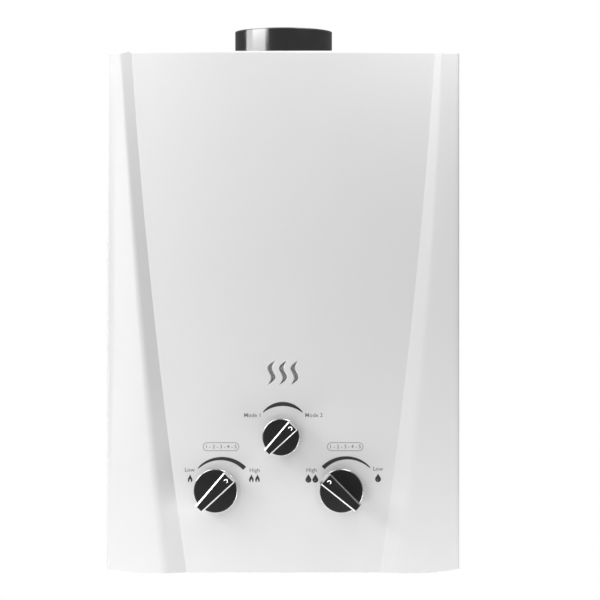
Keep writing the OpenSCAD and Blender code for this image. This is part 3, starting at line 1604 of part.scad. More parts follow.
module battery_lid() {
    w = battery_frame_w;
    color("dimgray") difference() {
        union() {
            box(battery_x - lid_hw, battery_x + lid_hw, hinge_d, battery_front + w, lid_z0, lid_z1);
            rod_x(battery_x - lid_hw, battery_x + lid_hw, hinge_d, hinge_z, knuckle_r);
            box(battery_x - battery_hw + pad_gap, battery_x + battery_hw - pad_gap,
                battery_rear + pad_gap, battery_front - pad_gap, lid_z1 - eps, pad_top);
        }
        rod_x(battery_x - lid_hw - eps, battery_x + lid_hw + eps, hinge_d, hinge_z, hinge_r + run_gap);
    }
}

module battery_hinge_pin() {
    x = lid_hw + lid_gap + lug_t;
    color("silver") rod_x(battery_x - x, battery_x + x, hinge_d, hinge_z, hinge_r);
}

// Knobs

// The raised grip across a knob: wide at the pointer, narrow at the tail, with sloping sides
module grip(r) {
    nose = r + grip_nose;
    tail = r + grip_tail;
    a = grip_wide * r / 2;
    b = grip_narrow * r / 2;
    top_nose = nose - nose_slope;
    top_tail = tail - tail_slope;
    taper = (a - b) / (nose + tail);
    top_a = a - taper * nose_slope - grip_draft;
    top_b = b + taper * tail_slope - grip_draft;
    base = [[-b, -tail], [b, -tail], [a, nose], [-a, nose]];
    top = [[-top_b, -top_tail], [top_b, -top_tail], [top_a, top_nose], [-top_a, top_nose]];
    pts = [
        for (p = base) [p.x, p.y, disc_t - eps],
        for (p = top) [p.x, p.y, disc_t + grip_h]
    ];
    polyhedron(pts, [
        [0, 1, 2, 3], [7, 6, 5, 4],
        [0, 4, 5, 1], [1, 5, 6, 2], [2, 6, 7, 3], [3, 7, 4, 0]
    ]);
}

module knob(x, z, r, angle) {
    back = panel_d(z) + knob_gap;
    hub_l = back - hub_rear(z);
    edge = 0.8;
    color("black") translate([x, -back, z]) rotate([90, 0, 0]) rotate([0, 0, -angle]) difference() {
        union() {
            rotate_extrude() polygon([
                [0, 0], [r - edge, 0], [r, edge], [r, disc_t - edge], [r - edge, disc_t], [0, disc_t]
            ]);
            translate([0, 0, -hub_l]) cylinder(h = hub_l + eps, r = hub_r);
            grip(r);
        }
        translate([0, 0, -hub_l - eps]) cylinder(h = spindle_grip + eps, r = shaft_r + run_gap);
        translate([0, dimple_share * r, disc_t + grip_h - dimple_dp])
            cylinder(h = dimple_dp + eps, r = dimple_r);
    }
}

module flame_knob() knob(flame_x, knob_z, knob_r, flame_angle);

module water_knob() knob(water_x, knob_z, knob_r, water_angle);

module season_knob() knob(season_x, season_z, season_r, season_angle);

// Moves the heater so that the centre of its wall holes is the origin
module in_frame() translate([0, 0, -body_h / 2]) children();

in_frame() back_plate();
in_frame() front_cover();
in_frame() top_plate();
in_frame() bottom_plate();
in_frame() window_mesh();
in_frame() cover_screws();
in_frame() flue_collar();
in_frame() draft_hood();
in_frame() flue_baffle();
in_frame() chamber_shell();
in_frame() exchanger_fins();
in_frame() exchanger_tubes();
in_frame() cold_pipe();
in_frame() hot_pipe();
in_frame() overheat_switch();
in_frame() mounting_brackets();
in_frame() burner_frame();
in_frame() burner_bars();
in_frame() gas_manifold();
in_frame() gas_jets();
in_frame() gas_riser();
in_frame() gas_valve_body();
in_frame() gas_poppet();
in_frame() poppet_spring();
in_frame() poppet_gland();
in_frame() solenoid_coil();
in_frame() solenoid_plunger();
in_frame() flame_spindle();
in_frame() season_valve_body();
in_frame() season_spindle();
in_frame() spindle_glands();
in_frame() water_valve_body();
in_frame() diaphragm_cover();
in_frame() diaphragm();
in_frame() push_rod();
in_frame() valve_screws();
in_frame() water_spindle();
in_frame() linkage_bracket();
in_frame() microswitch();
in_frame() switch_lever();
in_frame() gas_inlet();
in_frame() water_inlet();
in_frame() hot_outlet();
in_frame() inlet_filter();
in_frame() pipe_nuts();
in_frame() drain_plug();
in_frame() igniter_box();
in_frame() electrode_bracket();
in_frame() electrode_insulators();
in_frame() electrode_pins();
in_frame() leads();
in_frame() battery_box();
in_frame() battery_cells();
in_frame() battery_frame();
in_frame() battery_lid();
in_frame() battery_hinge_pin();
in_frame() flame_knob();
in_frame() water_knob();
in_frame() season_knob();
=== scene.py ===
"""Dresses the gas water heater: cover, controls, printed marks, threads, finishes and studio light."""
import json
import math

import bmesh
import bpy
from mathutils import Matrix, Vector


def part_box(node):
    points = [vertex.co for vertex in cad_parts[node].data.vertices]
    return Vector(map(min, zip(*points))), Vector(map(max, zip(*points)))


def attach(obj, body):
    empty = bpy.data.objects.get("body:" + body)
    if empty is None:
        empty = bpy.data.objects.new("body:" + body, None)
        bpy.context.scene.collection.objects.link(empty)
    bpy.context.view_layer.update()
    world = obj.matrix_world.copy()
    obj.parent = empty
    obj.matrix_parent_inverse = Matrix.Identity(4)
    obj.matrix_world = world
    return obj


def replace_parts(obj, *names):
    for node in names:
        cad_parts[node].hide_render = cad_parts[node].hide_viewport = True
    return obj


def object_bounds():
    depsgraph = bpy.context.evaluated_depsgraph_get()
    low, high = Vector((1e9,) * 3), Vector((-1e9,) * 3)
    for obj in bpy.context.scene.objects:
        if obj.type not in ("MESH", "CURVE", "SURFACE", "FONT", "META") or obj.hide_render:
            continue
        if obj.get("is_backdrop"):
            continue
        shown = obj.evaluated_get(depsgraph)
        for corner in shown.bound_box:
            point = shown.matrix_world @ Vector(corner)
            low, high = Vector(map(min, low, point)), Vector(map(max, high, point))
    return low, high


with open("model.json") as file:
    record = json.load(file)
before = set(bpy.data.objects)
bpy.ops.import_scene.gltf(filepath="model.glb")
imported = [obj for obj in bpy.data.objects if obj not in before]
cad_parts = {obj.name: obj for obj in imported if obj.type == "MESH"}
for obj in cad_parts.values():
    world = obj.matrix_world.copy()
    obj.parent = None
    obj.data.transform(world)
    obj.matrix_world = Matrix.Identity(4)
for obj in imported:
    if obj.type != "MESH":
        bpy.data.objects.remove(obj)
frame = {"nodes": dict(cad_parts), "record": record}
CAD_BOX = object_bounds()

MM = 0.001
HEATER = "heater"

# Sizes of the casing in millimetres, as in the part's source; the panel's margins are those at its top and
# bottom, then the bow between
RECESS_TOP = 2.5
RECESS_BOTTOM = 6.0
COVER_T = 1.0
LAP_GAP = 0.3
PANEL_MARGINS = (20.5, 67.5, 4.4)

# The casing in the row frame, in metres
COVER_LOW, COVER_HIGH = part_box("front_cover")
FRONT_Y = COVER_LOW.y
BOTTOM_Z = COVER_LOW.z
BODY_H = COVER_HIGH.z - COVER_LOW.z


def panel_y(z):
    """Place in depth of the recessed centre panel at the height z."""
    share = (z - BOTTOM_Z) / BODY_H
    return FRONT_Y + (RECESS_BOTTOM + (RECESS_TOP - RECESS_BOTTOM) * share) * MM


def on_panel(x, up, lift=0.0):
    """A point on the centre panel, from millimetres across and above the cover's bottom edge."""
    z = BOTTOM_Z + up * MM
    return Vector((x * MM, panel_y(z) - lift * MM, z))


def clamp(value, low=0.0, high=1.0):
    return min(max(value, low), high)


# Materials

# Where on a noise's range the two ends of a ramp lie
RAMP_ENDS = (0.3, 0.7)
RELIEF_DETAIL = 2.0
COAT_ROUGH = 0.08
SPANGLE_SCALE = 140.0
SPANGLE_TINTS = (0.9, 1.08)
SPANGLE_ROUGH = (0.3, 0.46)
BAND_WAVER = 0.4
BAND_STRENGTH = 0.5


def new_material(name, color, roughness, metallic=0.0):
    """A principled material; returns it with its node tree and shader."""
    mat = bpy.data.materials.new(name)
    mat.use_nodes = True
    mat.diffuse_color = (*color, 1.0)
    shader = mat.node_tree.nodes["Principled BSDF"]
    shader.inputs["Base Color"].default_value = (*color, 1.0)
    shader.inputs["Roughness"].default_value = roughness
    shader.inputs["Metallic"].default_value = metallic
    return mat, mat.node_tree, shader


def object_coords(tree, stretch=(1.0, 1.0, 1.0)):
    coords = tree.nodes.new("ShaderNodeTexCoord")
    mapping = tree.nodes.new("ShaderNodeMapping")
    mapping.inputs["Scale"].default_value = stretch
    tree.links.new(coords.outputs["Object"], mapping.inputs["Vector"])
    return mapping.outputs["Vector"]


def noise(tree, vector, scale, detail=3.0):
    node = tree.nodes.new("ShaderNodeTexNoise")
    node.inputs["Scale"].default_value = scale
    node.inputs["Detail"].default_value = detail
    tree.links.new(vector, node.inputs["Vector"])
    return node.outputs["Fac"]


def ramp(tree, value, low, high):
    """Maps a 0 to 1 value onto a range of two numbers or two colours."""
    node = tree.nodes.new("ShaderNodeValToRGB")
    as_color = [c if isinstance(c, tuple) else (c, c, c) for c in (low, high)]
    for element, color, place in zip(node.color_ramp.elements, as_color, RAMP_ENDS):
        element.color = (*color, 1.0)
        element.position = place
    tree.links.new(value, node.inputs["Fac"])
    return node.outputs["Color"]


def bump(tree, shader, height, strength, distance):
    node = tree.nodes.new("ShaderNodeBump")
    node.inputs["Strength"].default_value = strength
    node.inputs["Distance"].default_value = distance
    tree.links.new(height, node.inputs["Height"])
    tree.links.new(node.outputs["Normal"], shader.inputs["Normal"])


def shaded(color, factor):
    return tuple(c * factor for c in color)


def surface(name, color, rough, metallic=0.0, spread=0.05, grain=60.0, rough_spread=0.06,
            stretch=(1.0, 1.0, 1.0), bumps=None, coat=0.0, ior=1.5):
    """A finish whose colour and gloss vary a little; bumps is a fine relief as (scale, strength, depth)."""
    mat, tree, shader = new_material(name, color, rough, metallic)
    vector = object_coords(tree, stretch)
    fac = noise(tree, vector, grain)
    tree.links.new(
        ramp(tree, fac, shaded(color, 1.0 - spread), shaded(color, 1.0 + spread)),
        shader.inputs["Base Color"])
    tree.links.new(
        ramp(tree, fac, rough - rough_spread, rough + rough_spread), shader.inputs["Roughness"])
    shader.inputs["IOR"].default_value = ior
    if coat:
        shader.inputs["Coat Weight"].default_value = coat
        shader.inputs["Coat Roughness"].default_value = COAT_ROUGH
    if bumps:
        scale, strength, depth = bumps
        bump(tree, shader, noise(tree, vector, scale, RELIEF_DETAIL), strength, depth)
    return mat


def zinc(name, color):
    """Galvanised sheet with its faint spangle of crystals."""
    mat, tree, shader = new_material(name, color, sum(SPANGLE_ROUGH) / 2, 1.0)
    vector = object_coords(tree)
    cells = tree.nodes.new("ShaderNodeTexVoronoi")
    cells.inputs["Scale"].default_value = SPANGLE_SCALE
    tree.links.new(vector, cells.inputs["Vector"])
    split = tree.nodes.new("ShaderNodeSeparateColor")
    tree.links.new(cells.outputs["Color"], split.inputs["Color"])
    dull, bright = (shaded(color, tint) for tint in SPANGLE_TINTS)
    tree.links.new(ramp(tree, split.outputs["Red"], dull, bright), shader.inputs["Base Color"])
    tree.links.new(ramp(tree, split.outputs["Green"], *SPANGLE_ROUGH), shader.inputs["Roughness"])
    return mat


def banded(name, color, band_color, rough, scale, axis, metallic=0.0, relief=0.0):
    """Fine bands across one axis, such as a winding or a sleeve's weave."""
    mat, tree, shader = new_material(name, color, rough, metallic)
    vector = object_coords(tree)
    wave = tree.nodes.new("ShaderNodeTexWave")
    wave.bands_direction = axis
    wave.inputs["Scale"].default_value = scale
    wave.inputs["Distortion"].default_value = BAND_WAVER
    tree.links.new(vector, wave.inputs["Vector"])
    tree.links.new(ramp(tree, wave.outputs["Fac"], color, band_color), shader.inputs["Base Color"])
    if relief:
        bump(tree, shader, wave.outputs["Fac"], BAND_STRENGTH, relief)
    return mat


WHITE = surface("white_enamel", (0.82, 0.82, 0.82), 0.34, spread=0.004, grain=14.0, rough_spread=0.03,
                bumps=(420.0, 0.04, 0.0002), coat=0.15)
BLACK_ENAMEL = surface("black_enamel", (0.007, 0.007, 0.0075), 0.16, spread=0.1, grain=40.0,
                       rough_spread=0.02, bumps=(300.0, 0.02, 0.0001), coat=0.6, ior=2.4)
KNOB_BLACK = surface("knob_plastic", (0.02, 0.02, 0.02), 0.3, spread=0.06, grain=200.0, rough_spread=0.02,
                     bumps=(900.0, 0.02, 0.0001), ior=1.4)
CASE_BLACK = surface("case_plastic", (0.035, 0.035, 0.038), 0.55, spread=0.12, grain=120.0,
                     bumps=(1800.0, 0.25, 0.0002))
SILVER = surface("knob_trim", (0.93, 0.93, 0.935), 0.24, 0.9, spread=0.03, grain=300.0, rough_spread=0.04)
ZINC = zinc("zinc_sheet", (0.62, 0.63, 0.64))
STEEL = surface("steel", (0.58, 0.58, 0.59), 0.3, 1.0, spread=0.08, grain=90.0, stretch=(1.0, 1.0, 12.0),
                rough_spread=0.08)
DARK_STEEL = surface("mesh_steel", (0.36, 0.36, 0.37), 0.45, 0.3, spread=0.15, grain=400.0)
COPPER = surface("copper", (0.74, 0.38, 0.24), 0.28, 1.0, spread=0.18, grain=25.0, rough_spread=0.1,
                 bumps=(260.0, 0.05, 0.0002))
BRASS = surface("brass", (0.75, 0.55, 0.25), 0.3, 1.0, spread=0.12, grain=70.0, rough_spread=0.08,
                bumps=(700.0, 0.08, 0.0002))
CAST = surface("cast_alloy", (0.55, 0.56, 0.57), 0.5, 1.0, spread=0.1, grain=160.0, rough_spread=0.08,
               bumps=(900.0, 0.35, 0.0004))
RUBBER = surface("rubber", (0.03, 0.03, 0.03), 0.75, spread=0.15, grain=150.0,
                 bumps=(1200.0, 0.2, 0.0003))
CERAMIC = surface("ceramic", (0.8, 0.78, 0.73), 0.22, spread=0.04, grain=80.0, coat=0.5)
STRAINER = surface("strainer", (0.08, 0.26, 0.14), 0.5, spread=0.1, grain=200.0,
                   bumps=(1500.0, 0.3, 0.0003))
WINDING = banded("winding", (0.05, 0.07, 0.075), (0.09, 0.11, 0.115), 0.5, 260.0, "X", relief=0.0003)
LEAD = banded("lead_sleeve", (0.36, 0.04, 0.03), (0.45, 0.06, 0.05), 0.6, 420.0, "DIAGONAL", relief=0.0001)
CELL = banded("cell_can", (0.06, 0.16, 0.3), (0.09, 0.2, 0.36), 0.35, 3.0, "Z", metallic=0.6)
INK = surface("print_dark", (0.032, 0.032, 0.032), 0.5, spread=0.06, grain=500.0)
INK_GREY = surface("print_grey", (0.2, 0.2, 0.2), 0.5, spread=0.06, grain=500.0)
INK_PALE = surface("print_pale", (0.36, 0.36, 0.36), 0.5, spread=0.04, grain=500.0)

SLOT_FINISH = {
    "white_enamel": WHITE, "zinc_sheet": ZINC, "black_enamel": BLACK_ENAMEL, "steel": STEEL,
    "copper": COPPER, "brass": BRASS, "cast_alloy": CAST, "knob_plastic": KNOB_BLACK,
    "case_plastic": CASE_BLACK, "strainer": STRAINER, "rubber": RUBBER, "ceramic": CERAMIC,
    "lead_sleeve": LEAD, "cell_can": CELL, "winding": WINDING,
}

# Points closer than WELD, in metres, are joined, and edges that turn less than SMOOTH_ANGLE are round
SMOOTH_ANGLE = math.radians(32)
WELD = 1e-6


def dress_cad_nodes():
    """Gives each CAD node the finish of its slot, and smooth round faces."""
    for part in frame["record"]["subparts"]:
        obj = frame["nodes"][part["node"]]
        mat = SLOT_FINISH[part["material_slot"]]
        if part["node"] == "window_mesh":
            mat = DARK_STEEL
        if not obj.material_slots:
            obj.data.materials.append(mat)
        for place in obj.material_slots:
            place.material = mat
        obj.data.shade_smooth()
        weld = obj.modifiers.new("weld", "WELD")
        weld.merge_threshold = WELD
        split = obj.modifiers.new("edges", "EDGE_SPLIT")
        split.split_angle = SMOOTH_ANGLE


# Mesh helpers

# Radius in millimetres that stands for a lathe's axis
AXIS_R = 0.01


def piece(name, verts, faces, mat, body=HEATER, slot=None, smooth=True):
    """A mesh piece in the row frame that rides on a body."""
    mesh = bpy.data.meshes.new(name)
    mesh.from_pydata([tuple(v) for v in verts], [], faces)
    mesh.materials.append(mat)
    tidy = bmesh.new()
    tidy.from_mesh(mesh)
    bmesh.ops.remove_doubles(tidy, verts=tidy.verts, dist=WELD)
    bmesh.ops.recalc_face_normals(tidy, faces=tidy.faces)
    tidy.to_mesh(mesh)
    tidy.free()
    if smooth:
        mesh.shade_smooth()
        mesh.set_sharp_from_angle(angle=SMOOTH_ANGLE)
    obj = bpy.data.objects.new(name, mesh)
    bpy.context.scene.collection.objects.link(obj)
    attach(obj, body)
    return obj


def lathe(profile, steps, place, start=0.0, sweep=2 * math.pi):
    """Turns a closed profile of (radius, height) points; place maps local (x, y, z) to the row frame."""
    whole = sweep > 2 * math.pi - WELD
    count = steps if whole else steps + 1
    verts = []
    for k in range(count):
        a = start + sweep * k / steps
        verts += [place(r * math.cos(a), r * math.sin(a), h) for r, h in profile]
    n = len(profile)
    faces = []
    for k in range(steps):
        here, there = k * n, ((k + 1) % count) * n
        for j in range(n):
            j2 = (j + 1) % n
            faces.append((here + j, there + j, there + j2, here + j2))
    if not whole:
        faces += [tuple(range(n))[::-1], tuple(range(steps * n, count * n))]
    return verts, faces


def band_faces(here, there, n):
    """Faces between two rings of n points, given the numbers of their first points."""
    return [(here + k, here + (k + 1) % n, there + (k + 1) % n, there + k) for k in range(n)]


def loft(rings):
    """Joins rings of equal point counts and closes both ends."""
    n = len(rings[0])
    last = (len(rings) - 1) * n
    verts = [p for ring in rings for p in ring]
    faces = []
    for here in range(0, last, n):
        faces += band_faces(here, here + n, n)
    faces.append(tuple(range(n))[::-1])
    faces.append(tuple(range(last, last + n)))
    return verts, faces


def arc_points(r, start, end, steps):
    return [(r * math.cos(start + (end - start) * k / steps),
             r * math.sin(start + (end - start) * k / steps)) for k in range(steps + 1)]


# Cover

# Viewing slots: height of their middle, half sizes of the zone that holds them, and their pressed-in lips
SLOT_UP = 170.6
SLOT_ZONE = (18.0, 13.0)
SLOT_LIP = 0.8
LIP_STEPS = 2
LIP_TURN = math.radians(60)
EDGE_NEAR = 0.2

# Round upper edge of the front: its radius on the panel and beside it, and the most that its shading tilts
BROW_R = 2.4
TOP_BEND_R = 3.0
BROW_TILT = math.radians(48)
BROW_STEPS = 6
BROW_CUTS = (0.35, 0.65, 1.0)
BROW_LEAN = 0.05
ROUND_PROFILE = 0.5

# Limits by which a face counts as on the front, as straight ahead, as level or as in line with another,
# then how many faces deep the panel's top is cleared, and the width in millimetres that side bends keep
FRONT_LEAN = -0.8
FRONT_ROOM = 0.5
AHEAD_LEAN = -0.9
LEVEL_LEAN = 0.97
FLAT_TURN = math.radians(0.3)
IN_LINE = 0.999
JOIN_ROUNDS = 2
BEND_ZONE = 2.5

# Grid for the front beside the panel, in millimetres from the middle and above the bottom edge
GRID_X = range(84, 144, 2)
GRID_UP = range(10, 450, 10)
GRID_ROOM = 4

# Shading of each side of the front: margins of its ridge line and widths of its soft turn, each at the top,
# at the bottom and as a bow between, then the same for how far the strip outside it leans outward and for
# the gain of the slope inside it
RIDGE_SHADES = {
    -1: ((11.5, 49.0, 2.2), (1.5, 9.0, 0.0), (0.09, 0.07, 0.12), (0.9, 1.6, 0.7)),
    1: ((15.0, 52.0, 6.0), (1.0, 8.0, 0.0), (-0.03, -0.12, -0.03), (1.0, 1.0, 0.0)),
}


def bowed(ends, t):
    """Value between a top and a bottom end with a bow, t running from 0 at the top to 1 at the bottom."""
    top, bottom, bow = ends
    return top + (bottom - top) * t + 4 * bow * t * (1 - t)


def edge_lines(point):
    """The ridge's line, its soft turn's width and the panel's edge at a point's height, as half widths in
    millimetres, then the lean outside the ridge and the slope's gain inside it."""
    margins, widths, leans, gains = RIDGE_SHADES[1 if point.x > 0 else -1]
    t = clamp((COVER_HIGH.z - point.z) / BODY_H)
    half = COVER_HIGH.x / MM
    ridge = bowed((half - margins[0], half - margins[1], margins[2]), t)
    base = bowed((half - PANEL_MARGINS[0], half - PANEL_MARGINS[1], PANEL_MARGINS[2]), t)
    return ridge, bowed(widths, t), base, bowed(leans, t), bowed(gains, t)


def ridge_normal(point):
    """Outward direction of the front beside the panel: outer strip, soft ridge, then a straight slope."""
    ridge, soft, base, lean, gain = edge_lines(point)
    across = abs(point.x) / MM
    share = clamp((ridge + soft / 2 - across) / soft)
    recess = (panel_y(point.z) - FRONT_Y) / MM
    slope = gain * recess / (ridge - base) * share - lean * (1 - share)
    inward = -1.0 if point.x > 0 else 1.0
    rise = clamp((point.z - COVER_HIGH.z) / (BROW_R * MM) + 1.0)
    return Vector((inward * slope, -1.0, math.tan(min(math.asin(rise), BROW_TILT)))).normalized()


def on_brow(face):
    """Whether a face lies on the round upper edge of the cover's front."""
    reach = TOP_BEND_R * MM
    near_top = face.center.z > COVER_HIGH.z - reach and face.center.y < FRONT_Y + 2 * reach
    return near_top and face.normal.z > BROW_LEAN and face.normal.y < -BROW_LEAN


def brow_normal(point, beside):
    """Outward direction of the round upper edge, kept well short of straight up."""
    r = (TOP_BEND_R if beside else BROW_R) * MM
    face_y = FRONT_Y if beside else panel_y(COVER_HIGH.z)
    tilt = clamp(math.atan2(point.z - COVER_HIGH.z + r, face_y + r - point.y), 0.0, BROW_TILT)
    return Vector((0.0, -math.cos(tilt), math.sin(tilt)))


def near_front(face_normal, center):
    return face_normal.y < FRONT_LEAN and center.y < FRONT_Y + (RECESS_BOTTOM + FRONT_ROOM) * MM


def cover_normals(mesh):
    """Corner directions for clean shading: flat faces stay flat, bends and ridges are round."""
    around = [[] for _ in mesh.vertices]
    for face in mesh.polygons:
        for vertex in face.vertices:
            around[vertex].append(face)
    inner_x = COVER_HIGH.x - BEND_ZONE * MM
    normals = []
    for face in mesh.polygons:
        on_front = near_front(face.normal, face.center)
        beside = abs(face.center.x) / MM > edge_lines(face.center)[2]
        ridged = on_front and beside and face.normal.y < AHEAD_LEAN
        least = IN_LINE if on_front else math.cos(SMOOTH_ANGLE)
        for vertex in face.vertices:
            point = mesh.vertices[vertex].co
            inside = abs(point.x) < inner_x
            if inside and on_brow(face):
                normals.append(brow_normal(point, beside))
                continue
            if inside and ridged:
                normals.append(ridge_normal(point))
                continue
            total = Vector()
            for other in around[vertex]:
                if other.normal.dot(face.normal) > least:
                    total += other.normal * other.area ** 2
            normals.append(total.normalized() if total.length else face.normal)
    return normals


def cut_beside(work):
    """Cuts the front beside the panel into a fine grid, so that its shading can turn softly."""
    least_x = (GRID_X[0] - GRID_ROOM) * MM

    def sides():
        found = []
        for face in work.faces:
            across = [v.co.x for v in face.verts]
            one_side = min(across) > least_x or max(across) < -least_x
            if one_side and near_front(face.normal, face.calc_center_median()):
                found.append(face)
        edges = {edge for face in found for edge in face.edges}
        verts = {vert for face in found for vert in face.verts}
        return found + list(edges) + list(verts)

    planes = [((side * x * MM, 0, 0), (1, 0, 0)) for side in (-1, 1) for x in GRID_X]
    planes += [((0, 0, BOTTOM_Z + up * MM), (0, 0, 1)) for up in GRID_UP]
    planes += [((0, 0, COVER_HIGH.z - BROW_R * MM * share), (0, 0, 1)) for share in BROW_CUTS]
    for place, direction in planes:
        bmesh.ops.bisect_plane(work, geom=sides(), dist=WELD, plane_co=place, plane_no=direction)


def cover_edges(work):
    """The sharp outer edges of the viewing slots, and the centre panel's upper edge."""
    lips, brow = [], []
    for edge in work.edges:
        if len(edge.link_faces) != 2 or edge.calc_face_angle(0.0) < LIP_TURN:
            continue
        mid = (edge.verts[0].co + edge.verts[1].co) / 2
        if abs(mid.y - panel_y(mid.z)) > EDGE_NEAR * MM:
            continue
        if abs(mid.x) < SLOT_ZONE[0] * MM and abs(mid.z - BOTTOM_Z - SLOT_UP * MM) < SLOT_ZONE[1] * MM:
            lips.append(edge)
        elif min(v.co.z for v in edge.verts) > COVER_HIGH.z - EDGE_NEAR * MM:
            brow.append(edge)
    return lips, brow


def clear_corners(work, edges):
    """Joins the narrow, nearly flat faces at the panel's top, so that its upper edge bevels evenly."""
    def flat(edge):
        level = all(face.normal.z > LEVEL_LEAN for face in edge.link_faces)
        return len(edge.link_faces) == 2 and (level or edge.calc_face_angle(0.0) < FLAT_TURN)

    near = {vert for edge in edges for vert in edge.verts}
    for _ in range(JOIN_ROUNDS):
        near |= {vert for start in near for edge in start.link_edges if flat(edge) for vert in edge.verts
                 if vert.co.y < FRONT_Y + TOP_BEND_R * MM and vert.co.z > COVER_HIGH.z - BROW_R * MM}
    joined = {edge for vert in near for edge in vert.link_edges if flat(edge)} - set(edges)
    bmesh.ops.dissolve_edges(work, edges=list(joined), use_verts=False)


def round_edges(work, edges, size, steps):
    bmesh.ops.bevel(
        work, geom=edges, offset=size * MM, segments=steps, profile=ROUND_PROFILE, affect="EDGES")


def make_cover():
    """The cover's own solid with clean shading, a round brow and pressed-in lips round its slots."""
    mesh = frame["nodes"]["front_cover"].data.copy()
    work = bmesh.new()
    work.from_mesh(mesh)
    bmesh.ops.remove_doubles(work, verts=work.verts, dist=WELD)
    lips, brow = cover_edges(work)
    round_edges(work, lips, SLOT_LIP, LIP_STEPS)
    clear_corners(work, brow)
    round_edges(work, brow, BROW_R, BROW_STEPS)
    work.normal_update()
    cut_beside(work)
    for face in work.faces:
        face.smooth = True
    work.to_mesh(mesh)
    work.free()
    mesh.materials.clear()
    mesh.materials.append(WHITE)
    mesh.normals_split_custom_set(cover_normals(mesh))
    obj = bpy.data.objects.new("cover", mesh)
    bpy.context.scene.collection.objects.link(obj)
    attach(obj, HEATER)
    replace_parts(obj, "front_cover")


# Knobs

# Sizes in millimetres, as in the part's source; the dimple's place is a share of the disc's radius
KNOB_GAP = 1.5
KNOB_HEIGHT = 21.0
DISC_T = 4.0
HUB_R = 7.0
HUB_IN = 3.0
SPINDLE_GRIP = 15.0
SPINDLE_BORE_R = 3.05
DIMPLE_AWAY = 0.755
DIMPLE_DP = 0.6

# The disc's round front edge, the step for the rim at its back, and the rim from the disc's edge and back
DISC_ROUND = 0.7
BACK_STEP = (1.2, 0.9)
RIM_SECTION = [(-1.1, 0.05), (0.15, 0.05), (0.5, 0.4), (0.5, 0.75), (0.15, 1.05), (-1.1, 0.85)]
CORNER_STEPS = 5
DISC_STEPS = 96

# The grip's half widths at its pointer end and at its tail, as shares of the disc's radius
GRIP_FOOT = (0.325, 0.212)
GRIP_EDGE = (0.335, 0.22)
GRIP_TOP = (0.2815, 0.152)

# How far the grip's ends reach past the disc's edge: pointer and tail, from its foot to its top
FOOT_ENDS = (0.4, 1.4)
DISC_ENDS = (-0.4, 1.3)
EDGE_ENDS = (-0.55, 1.1)
TOP_ENDS = (-0.75, 0.8)

# Heights of the grip's foot and of its sloping bezel, and the black top let into it
FOOT_SUNK = 0.3
FOOT_RISE = 1.2
BEZEL_H = 0.9
BEZEL_LOW = 0.15
INLAY_INSET = 0.08
INLAY_T = 1.2
INLAY_ROUND = 0.1

# The pointer dimple, and the silver crescent on its bowl, a painted highlight that is left open on the
# bowl's shaded side; it spans these shares of its radius
DIMPLE_R = 1.8
BALL_STEPS = (48, 32)
BOWL_ANGLE = math.radians(20)
PAINTED_HIGHLIGHT_FROM = -75.0
PAINTED_HIGHLIGHT_SWEEP = 245.0
PAINTED_HIGHLIGHT_SHARES = (0.58, 0.72, 0.85, 0.97)
PAINTED_HIGHLIGHT_LIFT = 0.05
PAINTED_HIGHLIGHT_SUNK = 0.02
PAINTED_HIGHLIGHT_STEPS = 32


class Knob:
    """One control: its place, radius, pointer angle, and its grip's sideways offsets from foot to top."""

    def __init__(self, name, body, r, angle, offsets):
        self.name = name
        self.body = body
        self.r = r
        self.turn = math.radians(angle)
        self.foot_x, self.edge_x, self.top_x = offsets
        joints = frame["record"]["behaviour"]["joints"]
        self.center = Vector(next(joint["pos_m"] for joint in joints if joint["child"] == body))
        self.center.y = panel_y(self.center.z) - KNOB_GAP * MM

    def at(self, x, y, z):
        """Row-frame point of local millimetres: y along the pointer, z out of the panel."""
        c, s = math.cos(self.turn), math.sin(self.turn)
        return self.center + Vector((x * c + y * s, -z, y * c - x * s)) * MM

    def add(self, part, shape, mat):
        return piece(f"{self.name}_{part}", *shape, mat, self.body, "knob_plastic")


KNOBS = [
    Knob("flame_knob", "flame_control", 18.2, 44, (0.31, -0.17, -0.05)),
    Knob("water_knob", "water_control", 18.2, -48, (-0.95, -0.45, -0.5)),
    Knob("season_knob", "season_control", 15.4, 44, (0.4, -0.15, -0.05)),
]


def make_disc(knob):
    """The black disc with its hub and bore, and the bright rim round its back."""
    r = knob.r
    hub_l = KNOB_GAP + COVER_T + HUB_IN
    bore_top = SPINDLE_GRIP - hub_l
    seat_r, seat_z = r - BACK_STEP[0], BACK_STEP[1]
    corner = arc_points(DISC_ROUND, 0.0, math.pi / 2, CORNER_STEPS)
    section = [(SPINDLE_BORE_R, -hub_l), (HUB_R, -hub_l), (HUB_R, 0.0)]
    section += [(seat_r, 0.0), (seat_r, seat_z), (r, seat_z)]
    section += [(r - DISC_ROUND + out, DISC_T - DISC_ROUND + up) for out, up in corner]
    section += [(AXIS_R, DISC_T), (AXIS_R, bore_top), (SPINDLE_BORE_R, bore_top)]
    disc = knob.add("disc", lathe(section, DISC_STEPS, knob.at), KNOB_BLACK)
    rim = [(r + out, up) for out, up in RIM_SECTION]
    knob.add("rim", lathe(rim, DISC_STEPS, knob.at), SILVER)
    return disc


def grip_ring(knob, shares, ends, x, z, inset=0.0):
    """The grip at one height: a four-sided wedge that widens to the pointer, with two square ends."""
    nose, tail = (knob.r + end - inset for end in ends)
    wide, narrow = (knob.r * share - inset for share in shares)
    corners = [(wide, nose), (-wide, nose), (-narrow, -tail), (narrow, -tail)]
    return [knob.at(x + side, along, z) for side, along in corners]


